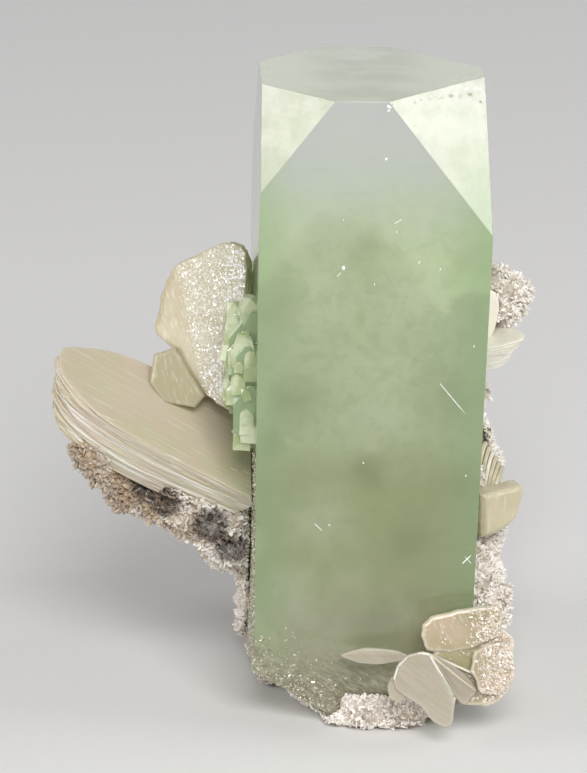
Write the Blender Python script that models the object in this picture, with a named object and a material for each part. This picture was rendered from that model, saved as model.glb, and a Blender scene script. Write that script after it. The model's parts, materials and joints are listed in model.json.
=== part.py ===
"""A fluorapophyllite and stilbite specimen that stands on its own flat underside, about 61 mm tall.

A square prism of pale green fluorapophyllite rises from a matrix. Faces of the pyramid cut its upper corners, and
four small crystals of the same mineral grow on its left wall. Plates of cream stilbite lie in sheaves at the
left, at the right and in a rosette in front of the prism's foot.

Lengths are in millimetres and angles in degrees. Shapes are made in millimetres and scaled to Blender's metres
when they become objects. +Z is up, the prism's broad front face looks along -Y, and the prism's axis is at X 0 and
Y 0 until the last step, which centres the whole specimen over the origin.
"""

import math
import random

import bmesh
import bpy
from mathutils import Matrix, Vector

MM = 0.001
GAP = 0.3  # between neighbouring pieces, which meet without touching

# Fluorapophyllite: the prism and its cut corners
PRISM_WIDTH = 21.6
PRISM_DEPTH = 21.7
PRISM_SHIFT = -0.9  # the foot's centre stands this far left of the top's, so that the top is over X 0
PRISM_TOP = 61.1
PRISM_WIDEST = 48.0
PRISM_FOOT = 0.7
FOOT_TAPER = 1.2  # how much narrower the prism is at its foot, on the right
TOP_TAPER = 0.35  # how much each wall draws in from the widest height to the top
PRISM_YAW = 2.2
PRISM_ROLL = 0.8
PYRAMID_SLOPE = 60.4  # from the flat top to a pyramid face, as the mineral's lattice fixes it
CORNER_CUTS = {(-1, -1): 6.5, (1, -1): 9.5, (1, 1): 8.2, (-1, 1): 6.0}
FRACTURE_LEFT = (-10.8, 5.6)  # two points, as X and Z, on the break under the prism's front edge
FRACTURE_RIGHT = (-3.4, 1.0)
CHIP_LEFT = (6.9, 0.4)  # the same for the smaller break at the foot's right corner
CHIP_RIGHT = (10.6, 5.0)
SIDE_CRYSTALS = (  # centre X, centre Y, foot Z, top Z, width, corner cut
    (-11.3, -3.2, 30.5, 39.6, 4.8, 2.1),
    (-12.0, -5.2, 31.0, 36.6, 3.0, 1.3),
    (-11.7, -5.5, 28.4, 32.9, 3.3, 1.5),
    (-11.4, -4.5, 26.5, 30.3, 3.8, 1.6),
)

# Stilbite plates
PLATE_RING = 14  # points round a plate's outline
PLATE_CHAMFER = 0.28  # share of a plate's thickness
PLATE_JITTER = 0.09
ROSETTE_FRONT = -11.7  # Y of the plates' roots, before each one's own step forward
ROSETTE_PLATES = (  # root X and Z, tip X and Z, width, step forward, lean to the right and up, bluntness
    ((12.2, 10.3), (4.3, 9.6), 4.2, 0.1, (0.10, 0.20), 9.0),
    ((8.2, 8.0), (12.9, 11.0), 4.8, 0.9, (-0.15, 0.45), 5.0),
    ((8.0, 6.9), (14.0, 7.2), 6.0, 1.3, (0.25, 0.15), 3.4),
    ((8.2, 7.8), (12.9, 3.1), 5.2, 2.1, (0.10, 0.30), 4.0),
    ((8.4, 7.0), (9.5, 2.3), 4.8, 1.3, (-0.20, 0.25), 3.0),
    ((9.4, 5.4), (2.5, 8.1), 5.2, 3.0, (-0.10, 0.20), 2.6),
    ((7.4, 6.8), (1.6, 5.0), 4.2, 3.7, (-0.30, 0.35), 2.2),
    ((7.6, 7.6), (6.4, 1.7), 3.2, 4.0, (0.05, 0.10), 2.4),
)

# The matrix: rounded blocks of rock, as centre, half-sizes
BLOCKS = {
    "foot": ((0.6, 3.0, 2.4), (11.2, 14.6, 4.4)),
    "front_crust": ((1.4, -9.0, 1.3), (5.6, 3.4, 2.4)),
    "back_foot": ((0.2, 13.6, 9.0), (10.8, 8.2, 11.6)),
    "back_middle": ((1.6, 14.4, 22.0), (10.2, 7.2, 12.4)),
    "back_top": ((-2.8, 14.8, 33.0), (8.2, 6.2, 11.4)),
    "left_flank": ((-8.6, 13.0, 25.0), (5.4, 5.4, 13.0)),
    "left_saddle": ((-12.4, 9.8, 24.6), (4.2, 4.2, 8.0)),
    "right_shoulder": ((11.6, 13.0, 35.4), (4.3, 3.8, 3.5)),
    "right_neck": ((8.8, 12.4, 31.8), (3.8, 4.0, 4.0)),
    "right_flank": ((9.4, 9.0, 14.8), (3.5, 7.2, 10.8)),
    "right_heel": ((9.6, 3.0, 8.6), (3.6, 8.0, 5.2)),
    "heel": ((-9.8, 5.0, 8.0), (2.9, 7.8, 6.6)),
    "arm_root": ((-13.0, 3.8, 15.6), (3.8, 7.6, 5.4)),
    "arm_middle": ((-17.8, 3.2, 18.9), (4.3, 6.8, 4.6)),
    "arm_end_low": ((-22.0, 2.6, 20.0), (2.9, 5.2, 3.2)),
    "arm_end": ((-25.8, 1.8, 23.6), (2.5, 4.6, 3.2)),
}
VUGS = (  # hollows in the arm's front, as centre and radius
    ((-21.2, -2.6, 21.6), 1.7),
    ((-19.6, -3.0, 19.8), 1.2),
    ((-15.4, -3.4, 17.4), 1.4),
    ((-13.4, -3.6, 15.2), 1.3),
    ((-12.2, -3.6, 11.6), 1.0),
)
VUG_DEPTH = 2.2  # half a vug's depth, as a multiple of its radius
ROCK_VOXEL = 0.75
ROCK_LUMPS = 1.5
ROCK_LUMP_SIZE = 3.0
ROCK_KEEP = 0.145  # share of the rock's faces that are kept
BREAKS = 9  # flat broken faces on each block of rock
BREAK_DEPTH = (0.74, 0.92)  # their distance from the block's middle, as a share of its half-size
CRAG_SPACING = 4.6  # square crystals' corners stand out of the rock about this far apart
CRAG_SIZE = (2.0, 3.6)
CRAG_SUNK = 1.2  # how deep their centres lie
ROCK_SOLVER = "MANIFOLD"  # the exact solver empties the rock where plates meet it edge on

COLOURS = {
    "fluorapophyllite": ((0.36, 0.47, 0.27, 1.0), 0.06),
    "stilbite": ((0.57, 0.49, 0.36, 1.0), 0.35),
    "matrix": ((0.50, 0.45, 0.39, 1.0), 0.75),
}


def clear_scene():
    for obj in list(bpy.data.objects):
        bpy.data.objects.remove(obj)


def material(name):
    """One material for each mineral."""
    if name in bpy.data.materials:
        return bpy.data.materials[name]
    colour, roughness = COLOURS[name]
    made = bpy.data.materials.new(name)
    made.use_nodes = True
    shader = made.node_tree.nodes["Principled BSDF"]
    shader.inputs["Base Color"].default_value = colour
    shader.inputs["Roughness"].default_value = roughness
    shader.inputs["Metallic"].default_value = 0.0
    return made


def object_from(name, bm, mineral):
    """An object in metres from a shape in millimetres."""
    bmesh.ops.recalc_face_normals(bm, faces=bm.faces)
    bm.transform(Matrix.Scale(MM, 4))
    mesh = bpy.data.meshes.new(name)
    bm.to_mesh(mesh)
    bm.free()
    mesh.materials.append(material(mineral))
    obj = bpy.data.objects.new(name, mesh)
    bpy.context.scene.collection.objects.link(obj)
    return obj


def apply_modifiers(obj):
    """Makes the evaluated shape the object's own mesh."""
    bpy.context.view_layer.update()
    graph = bpy.context.evaluated_depsgraph_get()
    mesh = bpy.data.meshes.new_from_object(obj.evaluated_get(graph))
    obj.modifiers.clear()
    obj.data = mesh


def combine(target, other, operation, solver="EXACT"):
    """Joins the other object to the target, or cuts it out of the target, and removes it."""
    modifier = target.modifiers.new(operation.title(), "BOOLEAN")
    modifier.operation = operation
    modifier.solver = solver
    modifier.object = other
    apply_modifiers(target)
    bpy.data.objects.remove(other)


def fuse(parts):
    first, *others = parts
    for other in others:
        combine(first, other, "UNION")
    return first


def keep_largest(obj):
    """Drops the crumbs that a cut leaves loose."""
    bm = bmesh.new()
    bm.from_mesh(obj.data)
    left, islands = set(bm.faces), []
    while left:
        found, edge = set(), [left.pop()]
        while edge:
            face = edge.pop()
            found.add(face)
            near = {other for line in face.edges for other in line.link_faces if other in left}
            left -= near
            edge.extend(near)
        islands.append(found)
    largest = max(islands, key=lambda faces: sum(face.calc_area() for face in faces))
    loose = [face for faces in islands if faces is not largest for face in faces]
    bmesh.ops.delete(bm, geom=loose, context="FACES")
    bm.to_mesh(obj.data)
    bm.free()


def loft(bm, rings):
    """Skins a stack of rings that have the same number of points, and closes both ends."""
    made = [[bm.verts.new(point) for point in ring] for ring in rings]
    for low, high in zip(made, made[1:]):
        for i, corner in enumerate(low):
            after = (i + 1) % len(low)
            bm.faces.new((corner, low[after], high[after], high[i]))
    bm.faces.new(reversed(made[0]))
    bm.faces.new(made[-1])


def cut_off(bm, point, normal):
    """Removes what lies beyond a plane and closes the cut with a flat face."""
    geometry = bm.verts[:] + bm.edges[:] + bm.faces[:]
    made = bmesh.ops.bisect_plane(bm, geom=geometry, plane_co=point, plane_no=normal, clear_outer=True)
    rim = [item for item in made["geom_cut"] if isinstance(item, bmesh.types.BMEdge)]
    bmesh.ops.holes_fill(bm, edges=rim)


def cut_corners(bm, centre_x, centre_y, half_width, half_depth, top, cuts, grow=0.0):
    """The pyramid's faces, which turn each upper corner of a prism into a triangle."""
    slope = math.radians(PYRAMID_SLOPE)
    for (side, face), cut in cuts.items():
        normal = Vector((
            side * math.sin(slope) / math.sqrt(2),
            face * math.sin(slope) / math.sqrt(2),
            math.cos(slope),
        ))
        edge = Vector((centre_x + side * (half_width - cut), centre_y + face * half_depth, top))
        cut_off(bm, edge + normal * grow, normal)


def apophyllite_prism(grow=0.0):
    """The large prism. Its right wall draws in towards the foot, and every wall draws in a little at the top."""
    half, deep = PRISM_WIDTH / 2, PRISM_DEPTH / 2
    sections = (
        (PRISM_FOOT - grow, -half, half - FOOT_TAPER, deep),
        (PRISM_WIDEST, -half, half, deep),
        (PRISM_TOP + grow, -half + TOP_TAPER, half - TOP_TAPER, deep - TOP_TAPER),
    )
    bm = bmesh.new()
    loft(bm, [
        [
            (left - grow, -depth - grow, z),
            (right + grow, -depth - grow, z),
            (right + grow, depth + grow, z),
            (left - grow, depth + grow, z),
        ]
        for z, left, right, depth in sections
    ])
    cut_corners(bm, 0, 0, half - TOP_TAPER, deep - TOP_TAPER, PRISM_TOP, CORNER_CUTS, grow)
    for (left, left_z), (right, right_z) in ((FRACTURE_LEFT, FRACTURE_RIGHT), (CHIP_LEFT, CHIP_RIGHT)):
        fracture = Vector((right_z - left_z, -1.4, left - right)).normalized()
        cut_off(bm, Vector((right, -deep, right_z)) + fracture * grow, fracture)
    turn = Matrix.Rotation(math.radians(PRISM_ROLL), 4, "Y") @ Matrix.Rotation(math.radians(PRISM_YAW), 4, "Z")
    bm.transform(Matrix.Translation((PRISM_SHIFT, 0, 0)) @ turn)
    return object_from("apophyllite", bm, "fluorapophyllite")


def side_crystal(centre_x, centre_y, foot, top, width, cut, grow=0.0):
    """A small crystal in the same orientation as the large one, rooted in its left wall."""
    half = width / 2
    corners = ((-1, -1), (1, -1), (1, 1), (-1, 1))
    bm = bmesh.new()
    loft(bm, [
        [(centre_x + x * (half + grow), centre_y + y * (half + grow), z) for x, y in corners]
        for z in (foot - grow, top + grow)
    ])
    cut_corners(bm, centre_x, centre_y, half, half, top, dict.fromkeys(corners, cut), grow)
    bm.transform(Matrix.Rotation(math.radians(PRISM_YAW), 4, "Z"))
    return object_from("side_crystal", bm, "fluorapophyllite")


def apophyllite(grow=0.0):
    return fuse([apophyllite_prism(grow), *(side_crystal(*sizes, grow=grow) for sizes in SIDE_CRYSTALS)])


def plate_outline(length, width, waist, blunt):
    """Half the outline of a plate that grows along +X: narrow at its root, broad and round at its free end."""
    half_ring = PLATE_RING // 2
    points = []
    for i in range(half_ring + 1):
        share = math.sin(math.pi / 2 * i / half_ring)
        widening = waist + (1 - waist) * min(1.0, share / 0.45)
        rounding = max(0.0, 1 - share ** (2 * blunt)) ** 0.5
        points.append((share * length, width / 2 * widening * rounding))
    return points


def plate(length, width, thickness, waist=0.6, blunt=2.2, grow=0.0):
    """A stilbite plate with chamfered rims, its root at the origin, its faces up and down."""
    side = plate_outline(length, width, waist, blunt)
    outline = [(x, y) for x, y in side[:-1]] + [side[-1]] + [(x, -y) for x, y in reversed(side[:-1])]
    chamfer = thickness * PLATE_CHAMFER
    middle = Vector((length / 2, 0, 0))
    rings = []
    for z, inset in ((-1, chamfer), (-0.35, 0.0), (0.35, 0.0), (1, chamfer)):
        ring = []
        for x, y in outline:
            point = Vector((x, y, 0))
            outwards = (point - middle).normalized()
            ring.append(point + outwards * (grow - inset) + Vector((0, 0, z * (thickness / 2 + grow))))
        rings.append(ring)
    bm = bmesh.new()
    loft(bm, rings)
    return bm


def frame_at(place, along, normal):
    """A frame whose X runs along the plates and whose Z is the way they are stacked."""
    x = Vector(along).normalized()
    z = (Vector(normal) - Vector(normal).dot(x) * x).normalized()
    turn = Matrix((x, z.cross(x), z)).transposed().to_4x4()
    return Matrix.Translation(Vector(place)) @ turn


def sheaf(name, place, along, normal, lengths, width, thickness, pitch, seed, splay=0.0, fan=0.0, pivot=0.0,
          waist=0.6, blunt=2.2, grow=0.0):
    """Stacked plates from one root. Splayed ones part like a book's pages, fanned ones like a hand of cards."""
    draw = random.Random(seed)
    frame = frame_at(place, along, normal)
    parts = []
    for i, length in enumerate(lengths):
        share = i / (len(lengths) - 1) - 0.5
        wobble = [draw.uniform(-PLATE_JITTER, PLATE_JITTER) for _ in range(3)]
        bm = plate(length * (1 + wobble[0]), width * (1 + wobble[1]), thickness, waist, blunt, grow)
        bm.transform(Matrix.Translation((-pivot * length, width * wobble[2], 0)))
        page = Matrix.Rotation(-math.radians(splay * share), 4, "Y")
        card = Matrix.Rotation(math.radians(fan * share), 4, "Z")
        stack = Matrix.Translation((0, 0, pitch * share * (len(lengths) - 1)))
        bm.transform(frame @ stack @ page @ card)
        parts.append(object_from(name, bm, "stilbite"))
    return fuse(parts)


def even(first, last, count):
    """Lengths that run evenly from the first plate's to the last one's."""
    return [first + (last - first) * i / (count - 1) for i in range(count)]


def left_blade(grow=0.0):
    """The long sheaf that reaches out to the left, one broad face up and to the front."""
    return sheaf("stilbite_left_blade", (-20.8, 0.4, 26.0), (-0.885, 0.0, 0.465), (0.38, -0.52, 0.76),
                 even(18.4, 23.6, 6), 9.4, 1.5, 0.85, seed=3, splay=5.0, pivot=0.51, waist=0.9, blunt=2.4,
                 grow=grow)


def upper_left_sheaf(grow=0.0):
    """The fan beside the prism, its broad face to the front, its plates laid like a hand of cards."""
    return sheaf("stilbite_upper_left_sheaf", (-12.2, 3.6, 26.6), (-0.36, 0.10, 0.93), (-0.28, -0.94, 0.18),
                 even(16.8, 12.8, 7), 5.8, 1.5, -0.55, seed=5, splay=-9.0, fan=44.0, waist=0.5, blunt=3.4,
                 grow=grow)


def left_tablet(grow=0.0):
    """The small thick tablet that fills the angle between the blade and the fan."""
    bm = plate(6.6, 4.6, 2.0, waist=0.94, blunt=9.0, grow=grow)
    bm.transform(frame_at((-16.9, 1.0, 27.2), (-0.24, 0.12, 0.96), (-0.10, -1.0, 0.20)))
    return object_from("stilbite_left_tablet", bm, "stilbite")


def upper_right_sheaf(grow=0.0):
    """A short sheaf that points right from behind the prism, with one plate leaning against the shoulder."""
    pages = sheaf("stilbite_upper_right_sheaf", (7.6, 9.0, 31.2), (0.99, -0.05, 0.04), (-0.04, -0.15, 0.99),
                  even(6.0, 7.2, 5), 5.4, 0.95, 0.62, seed=7, splay=14.0, waist=0.8, blunt=1.5, grow=grow)
    bm = plate(6.6, 4.4, 1.5, waist=0.7, blunt=2.6, grow=grow)
    bm.transform(frame_at((9.6, 8.4, 31.4), (0.20, 0.0, 0.98), (0.5, -0.84, -0.1)))
    return fuse([pages, object_from("leaning_plate", bm, "stilbite")])


def lower_right_sheaf(grow=0.0):
    """A small upright sheaf beside the prism's right wall, over a thick tablet."""
    pages = sheaf("stilbite_lower_right_sheaf", (10.6, 5.6, 16.4), (0.08, -0.05, 0.99), (0.96, -0.2, -0.08),
                  even(8.8, 4.4, 4), 4.6, 1.1, 0.75, seed=9, splay=16.0, waist=0.8, blunt=1.8, grow=grow)
    bm = plate(4.6, 4.4, 2.6, waist=0.97, blunt=9.0, grow=grow)
    bm.transform(frame_at((12.2, 3.6, 13.9), (0.10, 0.0, 0.99), (0.35, -0.92, 0.0)))
    return fuse([pages, object_from("tablet", bm, "stilbite")])


def front_rosette(grow=0.0):
    """Overlapping plates in front of the prism's right foot, and the slender blade that runs left from them."""
    parts = []
    for (x, z), (tip_x, tip_z), width, forward, (right, up), blunt in ROSETTE_PLATES:
        along = Vector((tip_x - x, 0.0, tip_z - z))
        bm = plate(along.length, width, 1.4, waist=0.6, blunt=blunt, grow=grow)
        bm.transform(frame_at((x, ROSETTE_FRONT - forward, z), along, (right, -1.0, up)))
        parts.append(object_from("stilbite_front_rosette", bm, "stilbite"))
    bm = plate(10.4, 1.8, 1.3, waist=0.9, blunt=2.4, grow=grow)
    bm.transform(frame_at((8.2, -12.6, 7.4), (-1.0, 0.0, 0.05), (0.0, -0.8, 0.6)))
    parts.append(object_from("slender_blade", bm, "stilbite"))
    return fuse(parts)


def direction(draw):
    """A random direction, every one equally likely."""
    height = draw.uniform(-1, 1)
    turn = draw.uniform(0, 2 * math.pi)
    across = math.sqrt(1 - height * height)
    return Vector((across * math.cos(turn), across * math.sin(turn), height))


def craggy_block(bm, centre, half_sizes, draw):
    """An ellipsoid broken flat in places, with crystals' corners standing out of it."""
    block = bmesh.new()
    bmesh.ops.create_icosphere(block, subdivisions=3, radius=1.0)
    for _ in range(BREAKS):
        way = direction(draw)
        cut_off(block, way * draw.uniform(*BREAK_DEPTH), way)
    block.transform(Matrix.Translation(Vector(centre)) @ Matrix.Diagonal((*half_sizes, 1.0)))
    mean = sum(half_sizes) / 3
    for _ in range(round(4 * math.pi * mean * mean / CRAG_SPACING ** 2)):
        made = bmesh.ops.create_cube(block, size=draw.uniform(*CRAG_SIZE))
        spot = Vector(part * (size - CRAG_SUNK) for part, size in zip(direction(draw), half_sizes))
        turn = direction(draw).to_track_quat("Z", "Y").to_matrix().to_4x4()
        place = Matrix.Translation(Vector(centre) + spot) @ turn
        bmesh.ops.transform(block, matrix=place, verts=made["verts"])
    mesh = bpy.data.meshes.new("block")
    block.to_mesh(mesh)
    block.free()
    bm.from_mesh(mesh)
    bpy.data.meshes.remove(mesh)


def rough_rock():
    """The blocks grown into one lumpy body."""
    draw = random.Random(2)
    bm = bmesh.new()
    for centre, half_sizes in BLOCKS.values():
        craggy_block(bm, centre, half_sizes, draw)
    rock = object_from("matrix", bm, "matrix")
    remesh = rock.modifiers.new("One body", "REMESH")
    remesh.mode = "VOXEL"
    remesh.voxel_size = ROCK_VOXEL * MM
    lumps = bpy.data.textures.new("Rock lumps", "CLOUDS")
    lumps.noise_scale = ROCK_LUMP_SIZE * MM
    lumps.noise_depth = 2
    displace = rock.modifiers.new("Lumps", "DISPLACE")
    displace.texture = lumps
    displace.texture_coords = "GLOBAL"
    displace.strength = ROCK_LUMPS * MM
    displace.mid_level = 0.5
    fewer = rock.modifiers.new("Fewer faces", "DECIMATE")
    fewer.ratio = ROCK_KEEP
    apply_modifiers(rock)
    return rock


def vug(centre, radius):
    """The shape of a hollow: longer from front to back than across."""
    bm = bmesh.new()
    bmesh.ops.create_icosphere(bm, subdivisions=2, radius=radius)
    bm.transform(Matrix.Translation(Vector(centre)) @ Matrix.Diagonal((1.0, VUG_DEPTH, 0.9, 1.0)))
    return object_from("vug", bm, "matrix")


def ground():
    """What lies below the flat underside."""
    half, depth = 60.0, 20.0
    bm = bmesh.new()
    made = bmesh.ops.create_cube(bm, size=1.0)
    shape = Matrix.Translation((0, 0, -depth / 2)) @ Matrix.Diagonal((2 * half, 2 * half, depth, 1.0))
    bmesh.ops.transform(bm, matrix=shape, verts=made["verts"])
    return object_from("ground", bm, "matrix")


def matrix_rock(neighbours):
    """The rock, hollowed by its vugs, cleared for each crystal that grows on it and cut flat underneath."""
    rock = rough_rock()
    for centre, radius in VUGS:
        combine(rock, vug(centre, radius), "DIFFERENCE", ROCK_SOLVER)
    for neighbour in neighbours:
        combine(rock, neighbour(grow=GAP), "DIFFERENCE", ROCK_SOLVER)
    combine(rock, ground(), "DIFFERENCE", ROCK_SOLVER)
    keep_largest(rock)
    return rock


def grown_against(make, *neighbours):
    """A piece cleared for the crystals that grew before it."""
    piece = make()
    for neighbour in neighbours:
        combine(piece, neighbour(grow=GAP), "DIFFERENCE")
    keep_largest(piece)
    return piece


def bounds(objects):
    bpy.context.view_layer.update()
    corners = [obj.matrix_world @ vertex.co for obj in objects for vertex in obj.data.vertices]
    low = Vector(min(corner[axis] for corner in corners) for axis in range(3))
    high = Vector(max(corner[axis] for corner in corners) for axis in range(3))
    return low, high


def centre_over_origin(objects):
    """Parents the pieces to one empty, which puts the middle of the underside at the origin."""
    low, high = bounds(objects)
    specimen = bpy.data.objects.new("specimen", None)
    bpy.context.scene.collection.objects.link(specimen)
    for obj in objects:
        obj.parent = specimen
    specimen.location = (-(low.x + high.x) / 2, -(low.y + high.y) / 2, -low.z)


def main():
    clear_scene()
    crystals = (
        apophyllite,
        left_blade,
        upper_left_sheaf,
        left_tablet,
        upper_right_sheaf,
        lower_right_sheaf,
        front_rosette,
    )
    pieces = [
        apophyllite(),
        grown_against(left_blade, apophyllite),
        grown_against(upper_left_sheaf, apophyllite, left_blade),
        grown_against(left_tablet, left_blade, upper_left_sheaf),
        grown_against(upper_right_sheaf, apophyllite),
        grown_against(lower_right_sheaf, apophyllite),
        grown_against(front_rosette, apophyllite),
        matrix_rock(crystals),
    ]
    centre_over_origin(pieces)


main()
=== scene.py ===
"""Looks for a fluorapophyllite and stilbite specimen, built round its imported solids.

Laid out as an add-on and run as a script: each operator makes one piece or one group of like pieces.
Lengths in the tables are millimetres in the frame of the large prism's own axis, as in the part's source, and
become metres in the part's frame when a mesh is made.
"""

import json
import math
from functools import partial

import bmesh
import bpy
import numpy as np
from bpy.props import FloatProperty, FloatVectorProperty, IntProperty, PointerProperty
from mathutils import Matrix, Vector
from mathutils.bvhtree import BVHTree

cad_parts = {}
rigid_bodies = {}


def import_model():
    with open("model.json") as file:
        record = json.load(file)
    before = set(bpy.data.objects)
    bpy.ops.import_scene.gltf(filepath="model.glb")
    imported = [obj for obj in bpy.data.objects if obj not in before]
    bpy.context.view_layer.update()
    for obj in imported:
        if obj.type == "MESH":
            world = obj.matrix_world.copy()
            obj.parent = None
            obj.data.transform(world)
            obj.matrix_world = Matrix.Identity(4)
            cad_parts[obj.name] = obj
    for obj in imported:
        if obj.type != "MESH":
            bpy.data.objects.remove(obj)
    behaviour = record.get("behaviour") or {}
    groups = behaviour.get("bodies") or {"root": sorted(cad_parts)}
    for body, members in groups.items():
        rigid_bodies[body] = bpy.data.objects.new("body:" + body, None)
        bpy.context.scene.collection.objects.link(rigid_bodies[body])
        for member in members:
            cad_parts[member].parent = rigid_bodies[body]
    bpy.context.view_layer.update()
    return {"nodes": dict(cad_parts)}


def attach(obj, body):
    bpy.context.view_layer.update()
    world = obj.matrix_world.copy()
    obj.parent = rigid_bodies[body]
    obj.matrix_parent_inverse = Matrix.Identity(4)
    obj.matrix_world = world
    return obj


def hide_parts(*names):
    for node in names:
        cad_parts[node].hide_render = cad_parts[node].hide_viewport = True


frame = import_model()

bl_info = {
    "name": "Fluorapophyllite Specimen",
    "version": (1, 0, 0),
    "blender": (4, 5, 0),
    "location": "View3D > Sidebar > Specimen",
    "description": "Builds a pale green crystal on matrix with sheaves of stilbite",
    "category": "Add Mesh",
}

MM = 0.001
BODY = "root"
AXIS = Vector((7.702, -2.981, 0.0))  # the large prism's axis in the part's frame

# The camera, as it was fitted to the prism's edges
CAMERA_TARGET = (-7.41, 0.0, 30.4)
CAMERA_HEIGHT_DEG = 17.9
CAMERA_DISTANCE = 450.0
CAMERA_LENS = 219.8

# Stilbite sheaves: place of the root, way the plates run, way they are stacked, first and last length, number
# of plates, width, thickness, pitch, seed, then how they part
SHEAVES = {
    "stilbite_left_blade": dict(
        place=(-20.8, 0.4, 26.0), along=(-0.885, 0.0, 0.465), normal=(0.38, -0.52, 0.76),
        first=19.0, last=23.4, plates=28, width=9.4, thickness=0.27, pitch=0.2, seed=3,
        splay=5.0, pivot=0.51, waist=0.9, blunt=2.4,
    ),
    "stilbite_upper_right_sheaf": dict(
        place=(7.6, 9.0, 31.2), along=(0.99, -0.05, 0.04), normal=(-0.04, -0.15, 0.99),
        first=5.6, last=7.4, plates=10, width=5.2, thickness=0.24, pitch=0.2, seed=7,
        splay=7.0, waist=0.8, blunt=1.2,
    ),
    "stilbite_lower_right_sheaf": dict(
        place=(10.6, 5.6, 16.4), along=(0.08, -0.05, 0.99), normal=(0.96, -0.2, -0.08),
        first=8.8, last=4.4, plates=11, width=4.6, thickness=0.34, pitch=0.26, seed=9,
        splay=16.0, waist=0.8, blunt=1.8,
    ),
}
# Single plates: the piece, root, way they run, way they face, length, width, thickness, waist and blunt
PLATES = (
    ("stilbite_upper_right_sheaf", (9.6, 8.4, 31.4), (0.2, 0.0, 0.98), (0.5, -0.84, -0.1), 6.6, 4.4, 1.5, 0.7,
     2.6),
)
# Plates with outlines of their own, as corners' X and Z. Y is at the outline's middle and grows with X and Z
# by lean. Layers lie one behind the other, a pitch apart. Corners are rounded so many times, then broken.
OUTLINES = (
    dict(piece="stilbite_upper_left_sheaf", y=1.7, lean=(-0.30, 0.19), middle=(-15.1, 37.2), thickness=0.62,
         layers=7, pitch=0.58, breaks=0.10, corners=((-20.7, 35.0), (-19.8, 39.0), (-18.8, 41.3),
         (-16.6, 42.6), (-14.6, 43.7), (-13.3, 44.0), (-12.3, 43.8), (-11.8, 42.8), (-11.8, 38.8),
         (-11.8, 34.5), (-11.9, 30.1), (-13.3, 28.0), (-15.9, 29.6), (-17.3, 31.2), (-18.5, 33.4))),
    dict(piece="stilbite_left_tablet", y=0.6, lean=(-0.10, 0.20), middle=(-18.5, 30.8), thickness=1.0,
         layers=3, pitch=0.8, rounds=0, corners=((-21.0, 30.5), (-20.6, 33.1), (-18.6, 33.8), (-17.3, 31.6),
         (-15.8, 29.4), (-16.7, 28.3), (-19.7, 28.7))),
    dict(piece="stilbite_lower_right_sheaf", y=2.6, lean=(0.35, 0.0), middle=(12.4, 17.4), thickness=2.3,
         rounds=0, breaks=0.04, corners=((10.4, 19.2), (12.5, 19.5), (14.3, 19.7), (14.5, 19.0), (13.9, 16.5),
         (13.1, 15.8), (11.6, 15.1), (10.5, 14.9))),
    dict(piece="stilbite_front_rosette", y=-13.4, lean=(0.10, 0.30), middle=(8.4, 10.9), thickness=0.9,
         layers=3, pitch=0.8, rounds=0, breaks=0.05, corners=((4.7, 10.2), (4.8, 11.2), (5.6, 11.9),
         (8.0, 12.4), (10.3, 12.7), (11.8, 12.7), (12.3, 11.7), (12.0, 9.9), (9.6, 9.0), (7.3, 8.6),
         (5.2, 8.9))),
    dict(piece="stilbite_front_rosette", y=-13.9, lean=(0.15, 0.20), middle=(10.3, 6.9), thickness=0.8,
         layers=3, pitch=0.7, breaks=0.16, corners=((5.6, 8.8), (7.4, 9.4), (9.9, 10.2), (12.0, 10.6),
         (13.3, 9.7), (13.4, 7.4), (13.4, 5.5), (12.2, 4.2), (11.2, 3.3), (10.0, 3.5), (8.5, 3.9),
         (7.2, 5.9))),
    dict(piece="stilbite_front_rosette", y=-14.9, lean=(0.25, 0.15), middle=(11.2, 7.6), thickness=0.5,
         layers=2, pitch=0.4, breaks=0.18, corners=((9.6, 9.0), (11.2, 9.9), (12.8, 9.6), (13.3, 7.9),
         (13.0, 6.0), (11.6, 4.9), (10.2, 5.5), (9.4, 7.2))),
    dict(piece="clear", y=-13.0, lean=(0.0, 0.25), middle=(0.0, 7.9), thickness=0.5, rounds=2, corners=(
         (-3.0, 7.9), (-1.9, 8.3), (-0.6, 8.6), (1.2, 8.5), (2.6, 8.3), (3.6, 7.8), (2.6, 7.4), (0.7, 7.1),
         (-1.1, 7.2))),
    dict(piece="clear", y=-15.6, lean=(-0.15, 0.30), middle=(5.0, 6.4), thickness=0.4, corners=((5.4, 8.9),
         (4.6, 9.0), (3.3, 8.6), (2.4, 7.7), (2.0, 6.5), (2.3, 5.5), (3.3, 4.8), (4.5, 4.2), (5.7, 2.8),
         (6.8, 2.3), (7.5, 2.6), (7.7, 4.8), (6.6, 6.9))),
    dict(piece="clear", y=-15.2, lean=(0.20, 0.30), middle=(7.6, 6.3), thickness=0.4, layers=2, pitch=0.5,
         corners=((5.4, 8.9), (6.6, 6.9), (7.8, 4.8), (8.6, 4.0), (9.9, 5.2), (8.9, 6.6), (7.2, 8.0))),
    dict(piece="clear", y=-15.0, lean=(-0.25, 0.30), middle=(2.2, 5.4), thickness=0.4, layers=2, pitch=0.5,
         corners=((1.5, 4.6), (1.3, 5.6), (1.8, 6.5), (2.8, 6.2), (3.1, 5.0), (2.4, 4.1))),
)
LAYER_SHRINK = 0.03  # how much smaller each layer behind is
# White ridges where the rosette's plates part, from point to point
RIDGES = (
    ((5.4, -15.2, 8.9), (9.7, -15.3, 5.3)),
    ((5.4, -15.6, 8.9), (7.7, -15.9, 4.9)),
    ((7.7, -15.9, 4.9), (7.4, -16.3, 2.7)),
    ((5.5, -14.9, 8.8), (11.6, -14.9, 5.9)),
    ((2.0, -15.4, 6.5), (2.4, -15.1, 7.7)),
    ((2.4, -15.1, 7.7), (3.3, -14.95, 8.6)),
    ((3.3, -14.95, 8.6), (4.6, -15.0, 9.0)),
    ((4.6, -15.0, 9.0), (5.5, -15.2, 8.9)),
)

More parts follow.
